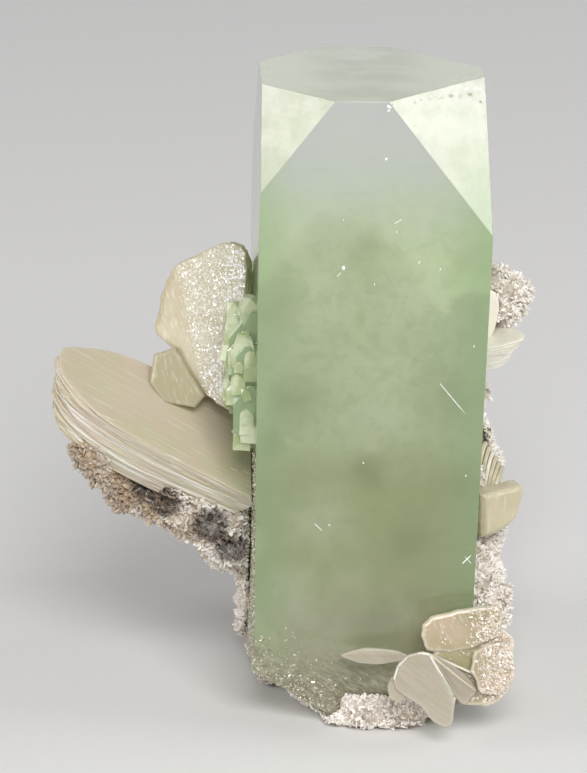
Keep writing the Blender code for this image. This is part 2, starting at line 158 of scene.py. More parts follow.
# The prism's inside: darker clouds, which are painted shade for the shaded rock seen through the crystal, and
# milkier clouds, as X, Z, radius and strength
PAINTED_SHADE_CLOUDS = (
    (-7.0, 32.3, 3.6, 0.55), (-9.6, 28.4, 1.8, 0.55), (-0.4, 25.6, 2.3, 0.65), (7.7, 32.6, 4.2, 0.45),
    (3.6, 18.4, 3.0, 0.55), (8.4, 24.1, 3.0, 0.4), (0.4, 9.9, 3.4, 0.5), (-0.8, 46.9, 1.8, 0.35),
    (9.5, 46.0, 2.8, 0.4), (-9.0, 42.0, 3.2, 0.4), (-2.0, 4.6, 3.0, 0.6), (4.0, 12.6, 2.2, 0.35),
)
MILKY_CLOUDS = (
    (-4.7, 43.1, 4.2, 0.5), (3.4, 42.3, 4.0, 0.5), (0.2, 30.6, 3.4, 0.4), (-5.1, 20.3, 4.4, 0.45),
    (-7.6, 13.5, 4.0, 0.45), (1.0, 35.6, 4.0, 0.35), (-2.5, 14.6, 2.6, 0.25),
)

BREAK = ((-10.8, 5.6), (-3.4, 1.0))  # two points, as X and Z, on the break under the prism's front edge

# Needles at the prism's front face: start X and Z, end X and Z
NEEDLES = (
    ((6.2, 34.1), (8.6, 31.1)),
    ((8.5, 16.3), (9.3, 17.1)),
    ((9.3, 16.3), (8.7, 17.0)),
    ((1.9, 49.6), (2.6, 50.0)),
    ((-5.4, 20.4), (-4.7, 19.7)),
    ((-3.4, 44.6), (-3.0, 45.0)),
)
SPECKS = (  # X, Z, size
    (-2.8, 45.4, 0.42), (4.1, 45.9, 0.34), (6.1, 45.2, 0.30), (0.1, 43.8, 0.22), (2.1, 48.8, 0.26),
    (-2.8, 50.0, 0.22), (9.3, 37.7, 0.24), (-0.9, 26.4, 0.24), (8.7, 25.0, 0.28), (-4.0, 20.3, 0.30),
    (1.2, 60.3, 0.40), (1.1, 55.7, 0.30),
)
CHIPS = (  # X, Y, Z and size of the white chips along the top's edges
    (1.3, -10.5, 60.9, 0.5), (1.8, -10.2, 61.0, 0.4), (4.4, -8.2, 60.9, 0.3), (6.2, -6.6, 61.0, 0.4),
    (7.6, -5.4, 60.9, 0.5), (8.9, -4.2, 61.0, 0.6), (9.5, -3.6, 60.8, 0.5), (10.1, -2.9, 60.6, 0.6),
    (10.2, -2.6, 59.3, 0.5), (10.4, -2.6, 57.8, 0.4), (-10.0, -4.4, 60.8, 0.3), (-4.4, -10.5, 60.9, 0.3),
)
ROCK_VUGS = (  # hollows in the arm's front, where shade is painted dark: X, Y, Z and radius
    (-21.2, -2.6, 21.6, 1.9), (-19.6, -3.0, 19.8, 1.4), (-15.4, -3.4, 17.4, 1.7), (-13.4, -3.6, 15.2, 1.5),
    (-12.2, -3.6, 11.6, 1.3),
)


def linear(code):
    """An sRGB hex colour as linear red, green, blue and alpha."""
    parts = [int(code[i:i + 2], 16) / 255 for i in (1, 3, 5)]
    return (*(c / 12.92 if c <= 0.04045 else ((c + 0.055) / 1.055) ** 2.4 for c in parts), 1.0)


def per(size_mm):
    """The scale of a pattern on Object coordinates whose features are this many millimetres apart."""
    return 1.0 / (size_mm * MM)


def set_inputs(tree, made, inputs):
    """Sets a node's inputs. Each is a value, or another node's output that is linked to it."""
    for name, value in inputs.items():
        if isinstance(value, bpy.types.NodeSocket):
            tree.links.new(value, made.inputs[name])
        else:
            made.inputs[name].default_value = value


def add_node(tree, kind, inputs=None, output=0, **settings):
    """Adds a shader node with its settings and links, and gives one of its outputs."""
    made = tree.nodes.new("ShaderNode" + kind)
    for name, value in settings.items():
        setattr(made, name, value)
    set_inputs(tree, made, inputs or {})
    return made.outputs[output]


MIX = dict(data_type="RGBA", output=2)  # colours 6 and 7 are mixed by the share 0
SMOOTH = dict(interpolation_type="SMOOTHSTEP")  # value 0 runs from 1 to 2, and comes out from 3 to 4


def new_material(name):
    """A material, and add_node for its tree."""
    made = bpy.data.materials.new(name)
    made.use_nodes = True
    return made, partial(add_node, made.node_tree)


def shaded(made, **inputs):
    """Sets the shader's own sockets, each named with underscores for spaces, and gives the material."""
    tree = made.node_tree
    set_inputs(tree, tree.nodes["Principled BSDF"], {name.replace("_", " "): inputs[name] for name in inputs})
    return made


def table_place(x, y, z):
    """A point of the tables in the part's frame, in metres."""
    return (Vector((x, y, z)) + AXIS) * MM


def apophyllite_material(colours):
    """Fluorapophyllite with natural growth faces: glassy, pale green and milky in depth, clear at the top."""
    made, node = new_material("fluorapophyllite_natural_faces")
    place = node("TexCoord", output="Object")
    # Growth zones and clouds waver by a millimetre or two.
    waver = node("TexNoise", {"Vector": place, "Scale": per(4.0), "Detail": 5.0}, "Color")
    waver = node("VectorMath", {0: waver, 1: (0.5, 0.5, 0.5)}, operation="SUBTRACT")
    wavering = node("VectorMath", {0: waver, 1: (4 * MM,) * 3, 2: place}, operation="MULTIPLY_ADD")
    height = node("SeparateXYZ", {0: wavering}, "Z")
    middle = node("VectorMath", {0: wavering, 1: table_place(-0.4, 0, 0)}, operation="SUBTRACT")
    sideways = node("Math", {0: node("SeparateXYZ", {0: middle}, "X")}, operation="ABSOLUTE")
    # The green deepens below 28 mm and turns brownish at the foot, and the edges are greener than the middle.
    low = node("MapRange", {0: height, 1: 0.031, 2: 0.0235}, **SMOOTH)
    colour = node("Mix", {0: low, 6: colours.crystal, 7: colours.crystal_low}, **MIX)
    base = node("MapRange", {0: height, 1: 0.0155, 2: 0.010}, **SMOOTH)
    colour = node("Mix", {0: base, 6: colour, 7: linear("#C8C8A6")}, **MIX)
    flat = node("VectorMath", {0: wavering, 1: (1.0, 0.0, 1.0)}, operation="MULTIPLY")
    # The dark clouds are painted shade, for the shaded rock behind that shows through; the milky ones are the
    # crystal's own.
    for clouds, tint in ((MILKY_CLOUDS, "#E4EDD0"), (PAINTED_SHADE_CLOUDS, "#9AA577")):
        cover = 0.0
        for x, z, radius, strength in clouds:
            centre = table_place(x, -AXIS.y, z)
            reach = node("VectorMath", {0: flat, 1: centre}, "Value", operation="DISTANCE")
            spot = node("MapRange", {0: reach, 1: 1.25 * radius * MM, 2: 0.0, 4: strength}, **SMOOTH)
            cover = node("Math", {0: cover, 1: spot}, operation="MAXIMUM")
        colour = node("Mix", {0: cover, 6: colour, 7: linear(tint)}, **MIX)
    # Wisps of inclusions, 0.3 to 1.5 mm across.
    wisp = node("TexNoise", {"Vector": wavering, "Scale": per(1.5), "Detail": 6.0, "Roughness": 0.65})
    wisp = node("MapRange", {0: wisp, 1: 0.42, 2: 0.68, 4: 0.28}, **SMOOTH)
    colour = node("Mix", {0: wisp, 6: colour, 7: linear("#A9B687")}, **MIX)
    # The top 10 mm are colourless. The pyramid's faces are etched, the flat top is greener, in pale patches.
    clear = node("TexNoise", {"Vector": place, "Scale": per(3.5), "Detail": 2.0})
    clear = node("Mix", {0: clear, 6: linear("#D5D7DC"), 7: linear("#DCE0D9")}, **MIX)
    pits = node("TexNoise", {"Vector": place, "Scale": per(2.6), "Detail": 6.0, "Roughness": 0.7})
    pits = node("MapRange", {0: pits, 1: 0.35, 2: 0.70}, **SMOOTH)
    etched = node("Mix", {0: pits, 6: linear("#F2F3DF"), 7: linear("#D6DBBC")}, **MIX)
    patches = node("Mapping", {"Vector": place, "Scale": (per(4.5), per(4.0), per(2.5))})
    patches = node("TexNoise", {"Vector": patches, "Scale": 1.0, "Detail": 4.0})
    patches = node("MapRange", {0: patches, 1: 0.42, 2: 0.70, 4: 0.7}, **SMOOTH)
    rims = node("MapRange", {0: sideways, 1: 2 * MM, 2: 8 * MM}, **SMOOTH)
    flat_top = node("Mix", {0: rims, 6: linear("#BFCBA0"), 7: linear("#F2FCD9")}, **MIX)
    flat_top = node("Mix", {0: patches, 6: flat_top, 7: linear("#F1F7DF")}, **MIX)
    normal = node("NewGeometry", output="Normal")
    facing = node("SeparateXYZ", {0: normal}, "Z")
    on_pyramid = node("MapRange", {0: facing, 1: 0.30, 2: 0.42}, **SMOOTH)
    clear = node("Mix", {0: on_pyramid, 6: clear, 7: etched}, **MIX)
    on_top = node("MapRange", {0: facing, 1: 0.85, 2: 0.95}, **SMOOTH)
    clear = node("Mix", {0: on_top, 6: clear, 7: flat_top}, **MIX)
    top = node("MapRange", {0: height, 1: 0.0445, 2: 0.0580}, **SMOOTH)
    colour = node("Mix", {0: top, 6: colour, 7: clear}, **MIX)
    edge = node("MapRange", {0: sideways, 1: 5.5 * MM, 2: 11 * MM, 4: 0.65}, **SMOOTH)
    below = node("MapRange", {0: height, 1: 0.0575, 2: 0.0500}, **SMOOTH)
    edge = node("Math", {0: edge, 1: below}, operation="MULTIPLY")
    colour = node("Mix", {0: edge, 6: colour, 7: linear("#B2CF9B")}, **MIX)
    # Grains of the matrix are caught in the broken foot, 4 mm above the break.
    (left, high), (right, down) = BREAK
    across = Vector((high - down, 0, right - left)).normalized() / MM
    above = node("VectorMath", {0: place, 1: table_place(left, -AXIS.y, high)}, operation="SUBTRACT")
    above = node("VectorMath", {0: above, 1: across}, "Value", operation="DOT_PRODUCT")
    above = node("MapRange", {0: above, 1: 4.2, 2: 0.4}, **SMOOTH)
    under = node("MapRange", {0: height, 1: 0.0085, 2: 0.0035}, **SMOOTH)
    dirty = node("Math", {0: above, 1: under}, operation="MAXIMUM")
    grain = node("Mapping", {"Vector": place, "Rotation": (0, math.radians(32), 0)}, vector_type="TEXTURE")
    grain = node("Mapping", {"Vector": grain, "Scale": (per(0.9), per(0.35), per(0.3))})
    grain = node("TexNoise", {"Vector": grain, "Scale": 1.0, "Detail": 5.0, "Roughness": 0.7})
    grain = node("MapRange", {0: grain, 1: 0.36, 2: 0.66}, **SMOOTH)
    dirt = node("Mix", {0: grain, 6: linear("#94876A"), 7: linear("#DDD6C2")}, **MIX)
    dirty = node("Math", {0: dirty, 1: 0.8}, operation="MULTIPLY")
    colour = node("Mix", {0: dirty, 6: colour, 7: dirt}, **MIX)
    # Fine growth lines across the prism's faces, 0.3 mm apart, drawn at 0.6 mm so that they show.
    lines = node("Mapping", {"Vector": place, "Scale": (per(8), per(8), per(0.6))})
    lines = node("TexNoise", {"Vector": lines, "Scale": 1.0, "Detail": 3.0})
    rough = node("Math", {0: grain, 1: dirty, 2: lines}, operation="MULTIPLY_ADD")
    bump = node("Bump", {"Height": rough, "Strength": 0.25, "Distance": 0.10 * MM})
    absorb = node("VolumeAbsorption", {"Color": colours.crystal_depth, "Density": 16.0})
    set_inputs(made.node_tree, made.node_tree.nodes["Material Output"], {"Volume": absorb})
    return shaded(
        made, Base_Color=colour, Normal=bump, IOR=1.535, Roughness=0.16, Transmission_Weight=0.55,
        Coat_Weight=0.6, Coat_Roughness=0.03)


def small_crystal_material():
    """Small intergrown fluorapophyllite crystals with natural faces: glassy, green where they are thick."""
    made, node = new_material("fluorapophyllite_small_crystals")
    place = node("TexCoord", output="Object")
    cloud = node("TexNoise", {"Vector": place, "Scale": per(1.8), "Detail": 3.0})
    cloud = node("MapRange", {0: cloud, 1: 0.40, 2: 0.62}, **SMOOTH)
    colour = node("Mix", {0: cloud, 6: linear("#E9F0CC"), 7: linear("#BFCC96")}, **MIX)
    return shaded(
        made, Base_Color=colour, IOR=1.535, Roughness=0.14, Transmission_Weight=0.3, Coat_Weight=0.8,
        Coat_Roughness=0.04)


def inclusion_material():
    """Hollow needles, bubbles and chipped edges of the crystal: they scatter light, so they show white."""
    return shaded(new_material("inclusion_white")[0], Base_Color=linear("#FDFDF6"), Roughness=0.4)


def stilbite_material(name, along, cream, blush):
    """Stilbite, grown as sheaves of thin plates: pearly, cream to peach, with fine lines along the plates and
    painted highlights on the rims of some.
    """
    made, node = new_material(name)
    place = node("TexCoord", output="Object")
    turn = Vector(along).to_track_quat("X", "Z").to_euler()
    lines = node("Mapping", {"Vector": place, "Rotation": turn}, vector_type="TEXTURE")
    # Plates' edges and growth lines, 0.1 mm apart in the real one and drawn at 0.3 mm.
    lines = node("Mapping", {"Vector": lines, "Scale": (per(8), per(0.3), per(0.3))})
    lines = node("TexNoise", {"Vector": lines, "Scale": 1.0, "Detail": 4.0})
    tint = node("TexNoise", {"Vector": place, "Scale": per(4.5), "Detail": 4.0})
    tint = node("MapRange", {0: tint, 1: 0.40, 2: 0.62}, **SMOOTH)
    colour = node("Mix", {0: tint, 6: cream, 7: blush}, **MIX)
    # The lines are painted paler: partly the plates' pale edges, partly painted highlights along them.
    pale_edges_and_glints = node("MapRange", {0: lines, 1: 0.52, 2: 0.72, 4: 0.35}, **SMOOTH)
    colour = node("Mix", {0: pale_edges_and_glints, 6: colour, 7: linear("#F0EBDC")}, **MIX)
    # Painted highlight: on the plates chosen as bright, the rims are painted pale, as glints where the plates
    # end.
    rim = node("Attribute", output="Fac", attribute_name="rim")
    shade = node("Attribute", output="Fac", attribute_name="shade")
    bright = node("Math", {0: rim, 1: shade}, operation="MULTIPLY")
    colour = node("Mix", {0: bright, 6: colour, 7: linear("#EFE9D9")}, **MIX)
    bump = node("Bump", {"Height": lines, "Strength": 0.5, "Distance": 0.10 * MM})
    return shaded(
        made, Base_Color=colour, Normal=bump, IOR=1.50, Roughness=0.32, Subsurface_Weight=0.25,
        Subsurface_Radius=(1.0, 0.85, 0.6), Subsurface_Scale=1.2 * MM, Coat_Weight=0.5, Coat_Roughness=0.12)


def clear_stilbite_material():
    """Thin stilbite plates that the light passes through: frosted glass with rims painted bright, as
    highlights.
    """
    made, node = new_material("stilbite_clear_plates")
    place = node("TexCoord", output="Object")
    # Growth lines, 0.1 mm apart in the real one and drawn at 0.35 mm.
    cloud = node("Mapping", {"Vector": place, "Rotation": (0, math.radians(-55), 0)}, vector_type="TEXTURE")
    cloud = node("Mapping", {"Vector": cloud, "Scale": (per(0.35), per(2.5), per(2.5))})
    cloud = node("TexNoise", {"Vector": cloud, "Scale": 1.0, "Detail": 5.0, "Roughness": 0.6})
    bump = node("Bump", {"Height": cloud, "Strength": 0.6, "Distance": 0.10 * MM})
    cloud = node("MapRange", {0: cloud, 1: 0.38, 2: 0.62}, **SMOOTH)
    colour = node("Mix", {0: cloud, 6: linear("#EADFCD"), 7: linear("#DDD6BF")}, **MIX)
    # Painted highlight: the plates' rims are painted near white.
    rim = node("Attribute", output="Fac", attribute_name="rim")
    rim = node("Math", {0: rim, 1: 0.35}, operation="MULTIPLY")
    colour = node("Mix", {0: rim, 6: colour, 7: linear("#FFFFFB")}, **MIX)
    return shaded(made, Base_Color=colour, Normal=bump, IOR=1.50, Roughness=0.30, Transmission_Weight=0.6)


def flake_material(name, dull, bright):
    """Flakes and slivers of stilbite on broken faces: pearly, with a shine that catches the light."""
    made, node = new_material(name)
    shade = node("Attribute", output="Fac", attribute_name="shade")
    colour = node("Mix", {0: shade, 6: linear(dull), 7: linear(bright)}, **MIX)
    return shaded(
        made, Base_Color=colour, IOR=1.50, Roughness=0.22, Coat_Weight=1.0, Coat_IOR=1.8, Coat_Roughness=0.08)


def painted_vug_shade(node, place):
    """How deep a point lies in the rock's hollows, 0 outside and 1 well inside: the mask for the shade
    painted there.
    """
    dark = 0.0
    for x, y, z, radius in ROCK_VUGS:
        reach = node("VectorMath", {0: place, 1: table_place(x, y, z)}, "Value", operation="DISTANCE")
        spot = node("MapRange", {0: reach, 1: 1.35 * radius * MM, 2: 0.8 * radius * MM}, **SMOOTH)
        dark = node("Math", {0: dark, 1: spot}, operation="MAXIMUM")
    return dark


def rock_material(colours):
    """Weathered zeolite-filled basalt: matt, pale where zeolites crust it, and dark brown in its hollows,
    partly the bare rock and partly painted shade.
    """
    made, node = new_material("matrix_weathered_basalt")
    place = node("TexCoord", output="Object")
    patches = node("TexNoise", {"Vector": place, "Scale": per(2.2), "Detail": 5.0})
    patches = node("MapRange", {0: patches, 1: 0.38, 2: 0.62}, **SMOOTH)
    colour = node("Mix", {0: patches, 6: colours.rock, 7: colours.rock_pale}, **MIX)
    grains = node("TexVoronoi", {"Vector": place, "Scale": per(0.55)})
    grain = node("MapRange", {0: grains, 1: 0.1, 2: 0.7, 4: 0.5}, **SMOOTH)
    colour = node("Mix", {0: grain, 6: colour, 7: linear("#E0D8CC")}, **MIX)
    # Painted shade: the rock's hollows are painted dark brown.
    colour = node("Mix", {0: painted_vug_shade(node, place), 6: colour, 7: linear("#34291F")}, **MIX)
    bump = node("Bump", {"Height": grains, "Strength": 0.8, "Distance": 0.25 * MM})
    return shaded(made, Base_Color=colour, Normal=bump, Roughness=0.8)


def druse_material(colours):
    """A druse of tiny zeolite blades: glassy, white at their tips, darker brown towards their roots, with
    painted shade in the rock's hollows.
    """
    made, node = new_material("zeolite_druse_blades")
    place = node("TexCoord", output="Object")
    tip = node("Attribute", output="Fac", attribute_name="tip")
    shade = node("Attribute", output="Fac", attribute_name="shade")
    stain = node("TexNoise", {"Vector": place, "Scale": per(3.0), "Detail": 4.0})
    colour = node("Mix", {0: shade, 6: colours.druse, 7: colours.druse_bright}, **MIX)
    # The arm at the left is stained and greyer, the right side hardly.
    place_x = node("SeparateXYZ", {0: place}, "X")
    stained = node("MapRange", {0: place_x, 1: 0.0, 2: -0.012, 3: 0.0, 4: 0.95}, **SMOOTH)
    greyer = node("MapRange", {0: place_x, 1: -0.004, 2: -0.024, 3: 0.0, 4: 0.9}, **SMOOTH)
    colour = node("Mix", {0: greyer, 6: colour, 7: linear("#A69783")}, **MIX)
    stain = node("MapRange", {0: stain, 1: 0.46, 2: 0.64, 4: stained}, **SMOOTH)
    colour = node("Mix", {0: stain, 6: colour, 7: linear("#BFA98F")}, **MIX)
    # Blades are darker brown towards their roots, on the left arm.
    root = node("MapRange", {0: tip, 1: 0.5, 2: 0.0, 4: stained}, **SMOOTH)
    colour = node("Mix", {0: root, 6: colour, 7: linear("#8F7C68")}, **MIX)
    # Painted shade: blades in the rock's hollows are painted dark brown.
    hollow_shade = node("Math", {0: painted_vug_shade(node, place), 1: 0.8}, operation="MULTIPLY")
    colour = node("Mix", {0: hollow_shade, 6: colour, 7: linear("#54453A")}, **MIX)
    return shaded(made, Base_Color=colour, IOR=1.50, Roughness=0.28)


def floor_material(colours):
    """Matt photographic board: even, pale grey, with no shine."""
    made, node = new_material("matt_backdrop_board")
    place = node("TexCoord", output="Object")
    fibre = node("TexNoise", {"Vector": place, "Scale": per(1.2), "Detail": 2.0})
    darker = (*(0.97 * part for part in colours.floor[:3]), 1.0)
    colour = node("Mix", {0: fibre, 6: colours.floor, 7: darker}, **MIX)
    return shaded(made, Base_Color=colour, Roughness=0.9, Specular_IOR_Level=0.15)


def deselect_all():
    for obj in bpy.context.selected_objects:
        obj.select_set(False)


def make_active(obj):
    deselect_all()
    obj.select_set(True)
    bpy.context.view_layer.objects.active = obj


def edit(obj, *steps):
    """Runs steps in the object's edit mode."""
    make_active(obj)
    bpy.ops.object.mode_set(mode="EDIT")
    for step in steps:
        step()
    bpy.ops.object.mode_set(mode="OBJECT")


def select_all():
    bpy.ops.mesh.select_all(action="SELECT")


def select_where(obj, mode, test):
    """Selects the faces or edges that pass a test, in the object's edit mode."""
    bm = bmesh.from_edit_mesh(obj.data)
    bm.select_mode = {mode}
    for item in (*bm.faces, *bm.edges, *bm.verts):
        item.select = False
    for item in bm.faces if mode == "FACE" else bm.edges:
        if test(item):
            item.select = True
    bm.select_flush_mode()
    bmesh.update_edit_mesh(obj.data)


def cad_copy(node, name, flat_deg=None):
    """A copy of a CAD solid with its triangles merged, and coplanar ones joined if an angle is given."""
    obj = linked(name, frame["nodes"][node].data.copy())
    obj.data.materials.clear()
    for key in [key for key in obj.keys() if key.startswith("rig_")]:
        del obj[key]
    edit(
        obj,
        select_all,
        lambda: bpy.ops.mesh.customdata_custom_splitnormals_clear(),
        lambda: bpy.ops.mesh.remove_doubles(threshold=1e-6),
        lambda: flat_deg and bpy.ops.mesh.dissolve_limited(angle_limit=math.radians(flat_deg)),
    )
    return obj


def apply(obj, kind, **settings):
    """Adds a modifier with its settings and applies it."""
    make_active(obj)
    modifier = obj.modifiers.new(kind.title(), kind)
    for name, value in settings.items():
        setattr(modifier, name, value)
    bpy.ops.object.modifier_apply(modifier=modifier.name)


def linked(name, data):
    """A new object in the scene with this data."""
    obj = bpy.data.objects.new(name, data)
    bpy.context.scene.collection.objects.link(obj)
    return obj


def finish_piece(obj, material, slot, *nodes):
    """Gives a piece its material, puts it on the body, and hides the nodes that it stands for; the slot is
    not used.
    """
    obj.data.materials.clear()
    obj.data.materials.append(material)
    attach(obj, BODY)
    if nodes:
        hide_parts(*nodes)


def frame_at(place, along, normal):
    """A frame whose X runs along the plates and whose Z is the way they are stacked."""
    x = Vector(along).normalized()
    z = (Vector(normal) - Vector(normal).dot(x) * x).normalized()
    turn = Matrix((x, z.cross(x), z)).transposed().to_4x4()
    return Matrix.Translation(Vector(place)) @ turn


IN_PLACE = Matrix.Translation(AXIS * MM) @ Matrix.Scale(MM, 4)  # from the tables' frame to the part's


class SpecimenSizes(bpy.types.PropertyGroup):
    blade_length: FloatProperty(
        name="Druse blade length", description="Mean length of the small white blades on the matrix",
        default=0.72 * MM, min=0.2 * MM, max=2 * MM, unit="LENGTH")
    blade_width: FloatProperty(
        name="Druse blade width", description="Mean width of the small white blades on the matrix",
        default=0.34 * MM, min=0.05 * MM, max=1 * MM, unit="LENGTH")
    blades: IntProperty(
        name="Druse blades", description="Number of small blades in each part of the druse",
        default=10500, min=100, max=12000)
    edge_round: FloatProperty(
        name="Crystal edge rounding", description="How far the large crystal's edges are worn",
        default=0.10 * MM, min=0.0, max=0.5 * MM, unit="LENGTH")
    rock_relief: FloatProperty(
        name="Rock relief", description="Depth of the rock's rough surface between the blades",
        default=0.7 * MM, min=0.0, max=2 * MM, unit="LENGTH")
    plate_rim: FloatProperty(
        name="Stilbite rim", description="Width of the paler rim round each stilbite plate",
        default=0.28 * MM, min=0.05 * MM, max=1 * MM, unit="LENGTH")


def colour_property(name, description, code):
    return FloatVectorProperty(
        name=name, description=description, subtype="COLOR", size=4, min=0.0, max=1.0, default=linear(code))


class SpecimenColours(bpy.types.PropertyGroup):
    crystal: colour_property("Crystal", "Green of the crystal's upper half", "#D0DEB3")
    crystal_low: colour_property("Lower crystal", "Olive green of the crystal's lower half", "#B8C28E")
    crystal_depth: colour_property("Crystal depth", "Green that the crystal gains with depth", "#E1F5C0")
    stilbite: colour_property("Stilbite", "Cream of the left stilbite plates", "#D0C5A7")
    stilbite_blush: colour_property("Stilbite blush", "Peach tint in parts of the left stilbite", "#D6C4AE")
    fan: colour_property("Stilbite fan", "Cream of the upright fan", "#C4BB9D")
    fan_tan: colour_property("Fan tan", "Brownish tint in the upright fan", "#B6A989")
    tablet: colour_property("Stilbite tablet", "Tan of the small tablet between blade and fan", "#AFA687")
    stilbite_pale: colour_property("Pale stilbite", "Cream of the right stilbite plates", "#F4EEDD")
    rosette: colour_property("Rosette", "Tan of the rosette's plates", "#A89F7B")
    rosette_pink: colour_property("Rosette pink", "Pink tint in the rosette's plates", "#BDAA8F")
    rock: colour_property("Rock", "Dark parts of the matrix", "#857361")
    rock_pale: colour_property("Pale rock", "Light parts of the matrix", "#D6CABB")
    druse: colour_property("Druse", "Greyer blades of the druse", "#EDE3D8")
    druse_bright: colour_property("Bright druse", "Whiter blades of the druse", "#FFFDF8")
    floor: colour_property("Floor", "Board that the specimen stands on", "#EAE9E7")


FLAT_DEG = 0.6  # faces that turn by less than this are one crystal face
LONG_EDGE = 2.0 * MM  # crystal edges longer and sharper than this are worn
SHARP_EDGE = math.radians(20)


class SPECIMEN_OT_crystal(bpy.types.Operator):
    """Makes the large apophyllite prism with its small side crystals"""

    bl_idname = "specimen.crystal"
    bl_label = "Apophyllite crystal"

    def execute(self, context):
        sizes, colours = context.scene.specimen_sizes, context.scene.specimen_colours
        obj = cad_copy("apophyllite", "apophyllite_crystal", flat_deg=FLAT_DEG)
        edit(
            obj,
            lambda: select_where(obj, "EDGE", lambda edge: (
                edge.calc_length() > LONG_EDGE and edge.calc_face_angle(0) > SHARP_EDGE)),
            lambda: bpy.ops.mesh.bevel(
                offset=sizes.edge_round, segments=2, affect="EDGES", clamp_overlap=True),
        )
        finish_piece(obj, apophyllite_material(colours), "fluorapophyllite", "apophyllite")
        return {"FINISHED"}


NEEDLE_WIDTH = 0.12  # millimetres
INNER_FIBRES = 90  # short ones, deep in the prism
FIBRE_WIDTH = 0.05  # millimetres
GRAINS_DRAWN = 60000  # places drawn on the prism's front and left wall
FOOT_GRAINS = 9000  # the most that are kept
GRAINS_REACH = 7.0  # millimetres above the break that grains of the matrix reach
WALL_GRAINS_TOP = 30 * MM  # where the last ones stand on the left wall


class SPECIMEN_OT_inclusions(bpy.types.Operator):
    """Makes the needles and bubbles in the prism, the chips along its top edges and the grains on its foot"""

    bl_idname = "specimen.inclusions"
    bl_label = "Inclusions"

    def execute(self, context):
        front = solid_tree(frame["nodes"]["apophyllite"])
        draw = np.random.default_rng(11)
        blades = []  # root, way, length and width
        for start, end in NEEDLES:
            root, tip = on_front(front, *start), on_front(front, *end)
            blades.append((root, tip - root, np.linalg.norm(tip - root), NEEDLE_WIDTH))
        for x, z, size in SPECKS:
            root = on_front(front, x, z) - np.array((0, 0, 0.3 * size))
            blades.append((root, (draw.normal() * 0.5, 0, 1), size * 0.8, size * 0.6))
        for x, y, z, size in CHIPS:
            blades.append((np.array((x, y, z)) - 0.3 * size, draw.normal(size=3), size * 0.8, size * 0.5))
        for _ in range(INNER_FIBRES):
            root = (draw.uniform(-8, 8), draw.uniform(-9.5, 2), draw.uniform(9, 52))
            blades.append((root, draw.normal(size=3), draw.uniform(0.2, 0.9), FIBRE_WIDTH))
        mesh = blade_mesh("crystal_inclusions", *(np.array(column) for column in zip(*blades)), draw)
        mesh.transform(IN_PLACE)
        finish_piece(linked(mesh.name, mesh), inclusion_material(), "fluorapophyllite")
        spots, normals = scatter(
            bpy.data.objects["apophyllite_crystal"].data, GRAINS_DRAWN, draw,
            lambda middles, ways: ((ways[:, 1] < -0.3) | (ways[:, 0] < -0.7)) * 1.0)
        (left, high), (right, down) = BREAK
        across = np.array((high - down, 0, right - left)) / math.hypot(high - down, right - left)
        above = (spots / MM - np.array(AXIS) - np.array((left, 0, high))) @ across
        chance = np.clip(1 - above / GRAINS_REACH, 0, 1) ** 3
        chance += (normals[:, 0] < -0.7) * np.clip(1 - spots[:, 2] / WALL_GRAINS_TOP, 0, 1) ** 1.5
        kept = np.flatnonzero((draw.random(len(spots)) < chance) & (spots[:, 2] > 0.5 * MM))[:FOOT_GRAINS]
        spots, normals, count = spots[kept], normals[kept], len(kept)
        lengths = draw.uniform(0.07, 0.22, count) * MM
        ways = normals + draw.normal(size=spots.shape) * 0.6
        ways /= np.linalg.norm(ways, axis=1, keepdims=True)
        mesh = blade_mesh(
            "matrix_grains_on_foot", spots - ways * 0.5 * lengths[:, None], ways, lengths,
            lengths * draw.uniform(0.7, 1.8, count), draw)
        grain = flake_material("weathered_basalt_grains", "#83785A", "#D6D2BA")
        finish_piece(linked(mesh.name, mesh), grain, "matrix")
        return {"FINISHED"}


SMALL_CRYSTAL_POINTS = np.array([
    *((x, y, -0.6) for x, y in ((-0.5, -0.5), (0.5, -0.5), (0.5, 0.5), (-0.5, 0.5))),
    *((x, y, 0.2) for x, y in ((-0.5, -0.5), (0.5, -0.5), (0.5, 0.5), (-0.5, 0.5))),
    *((x, y, 0.6) for x, y in ((0.0, -0.38), (0.38, 0.0), (0.0, 0.38), (-0.38, 0.0))),
])
SMALL_CRYSTAL_FACES = (
    (3, 2, 1, 0), (0, 1, 5, 4), (1, 2, 6, 5), (2, 3, 7, 6), (3, 0, 4, 7), (8, 9, 10, 11),
    (4, 5, 8), (5, 6, 9), (6, 7, 10), (7, 4, 11), (4, 8, 11), (5, 9, 8), (6, 10, 9), (7, 11, 10),
)
SMALL_CRYSTALS_DRAWN = 900  # places drawn on the side crystals
SMALL_CRYSTALS = 90  # the most that are kept
SMALL_CRYSTAL_SIZE = (0.6, 1.7)  # millimetres across


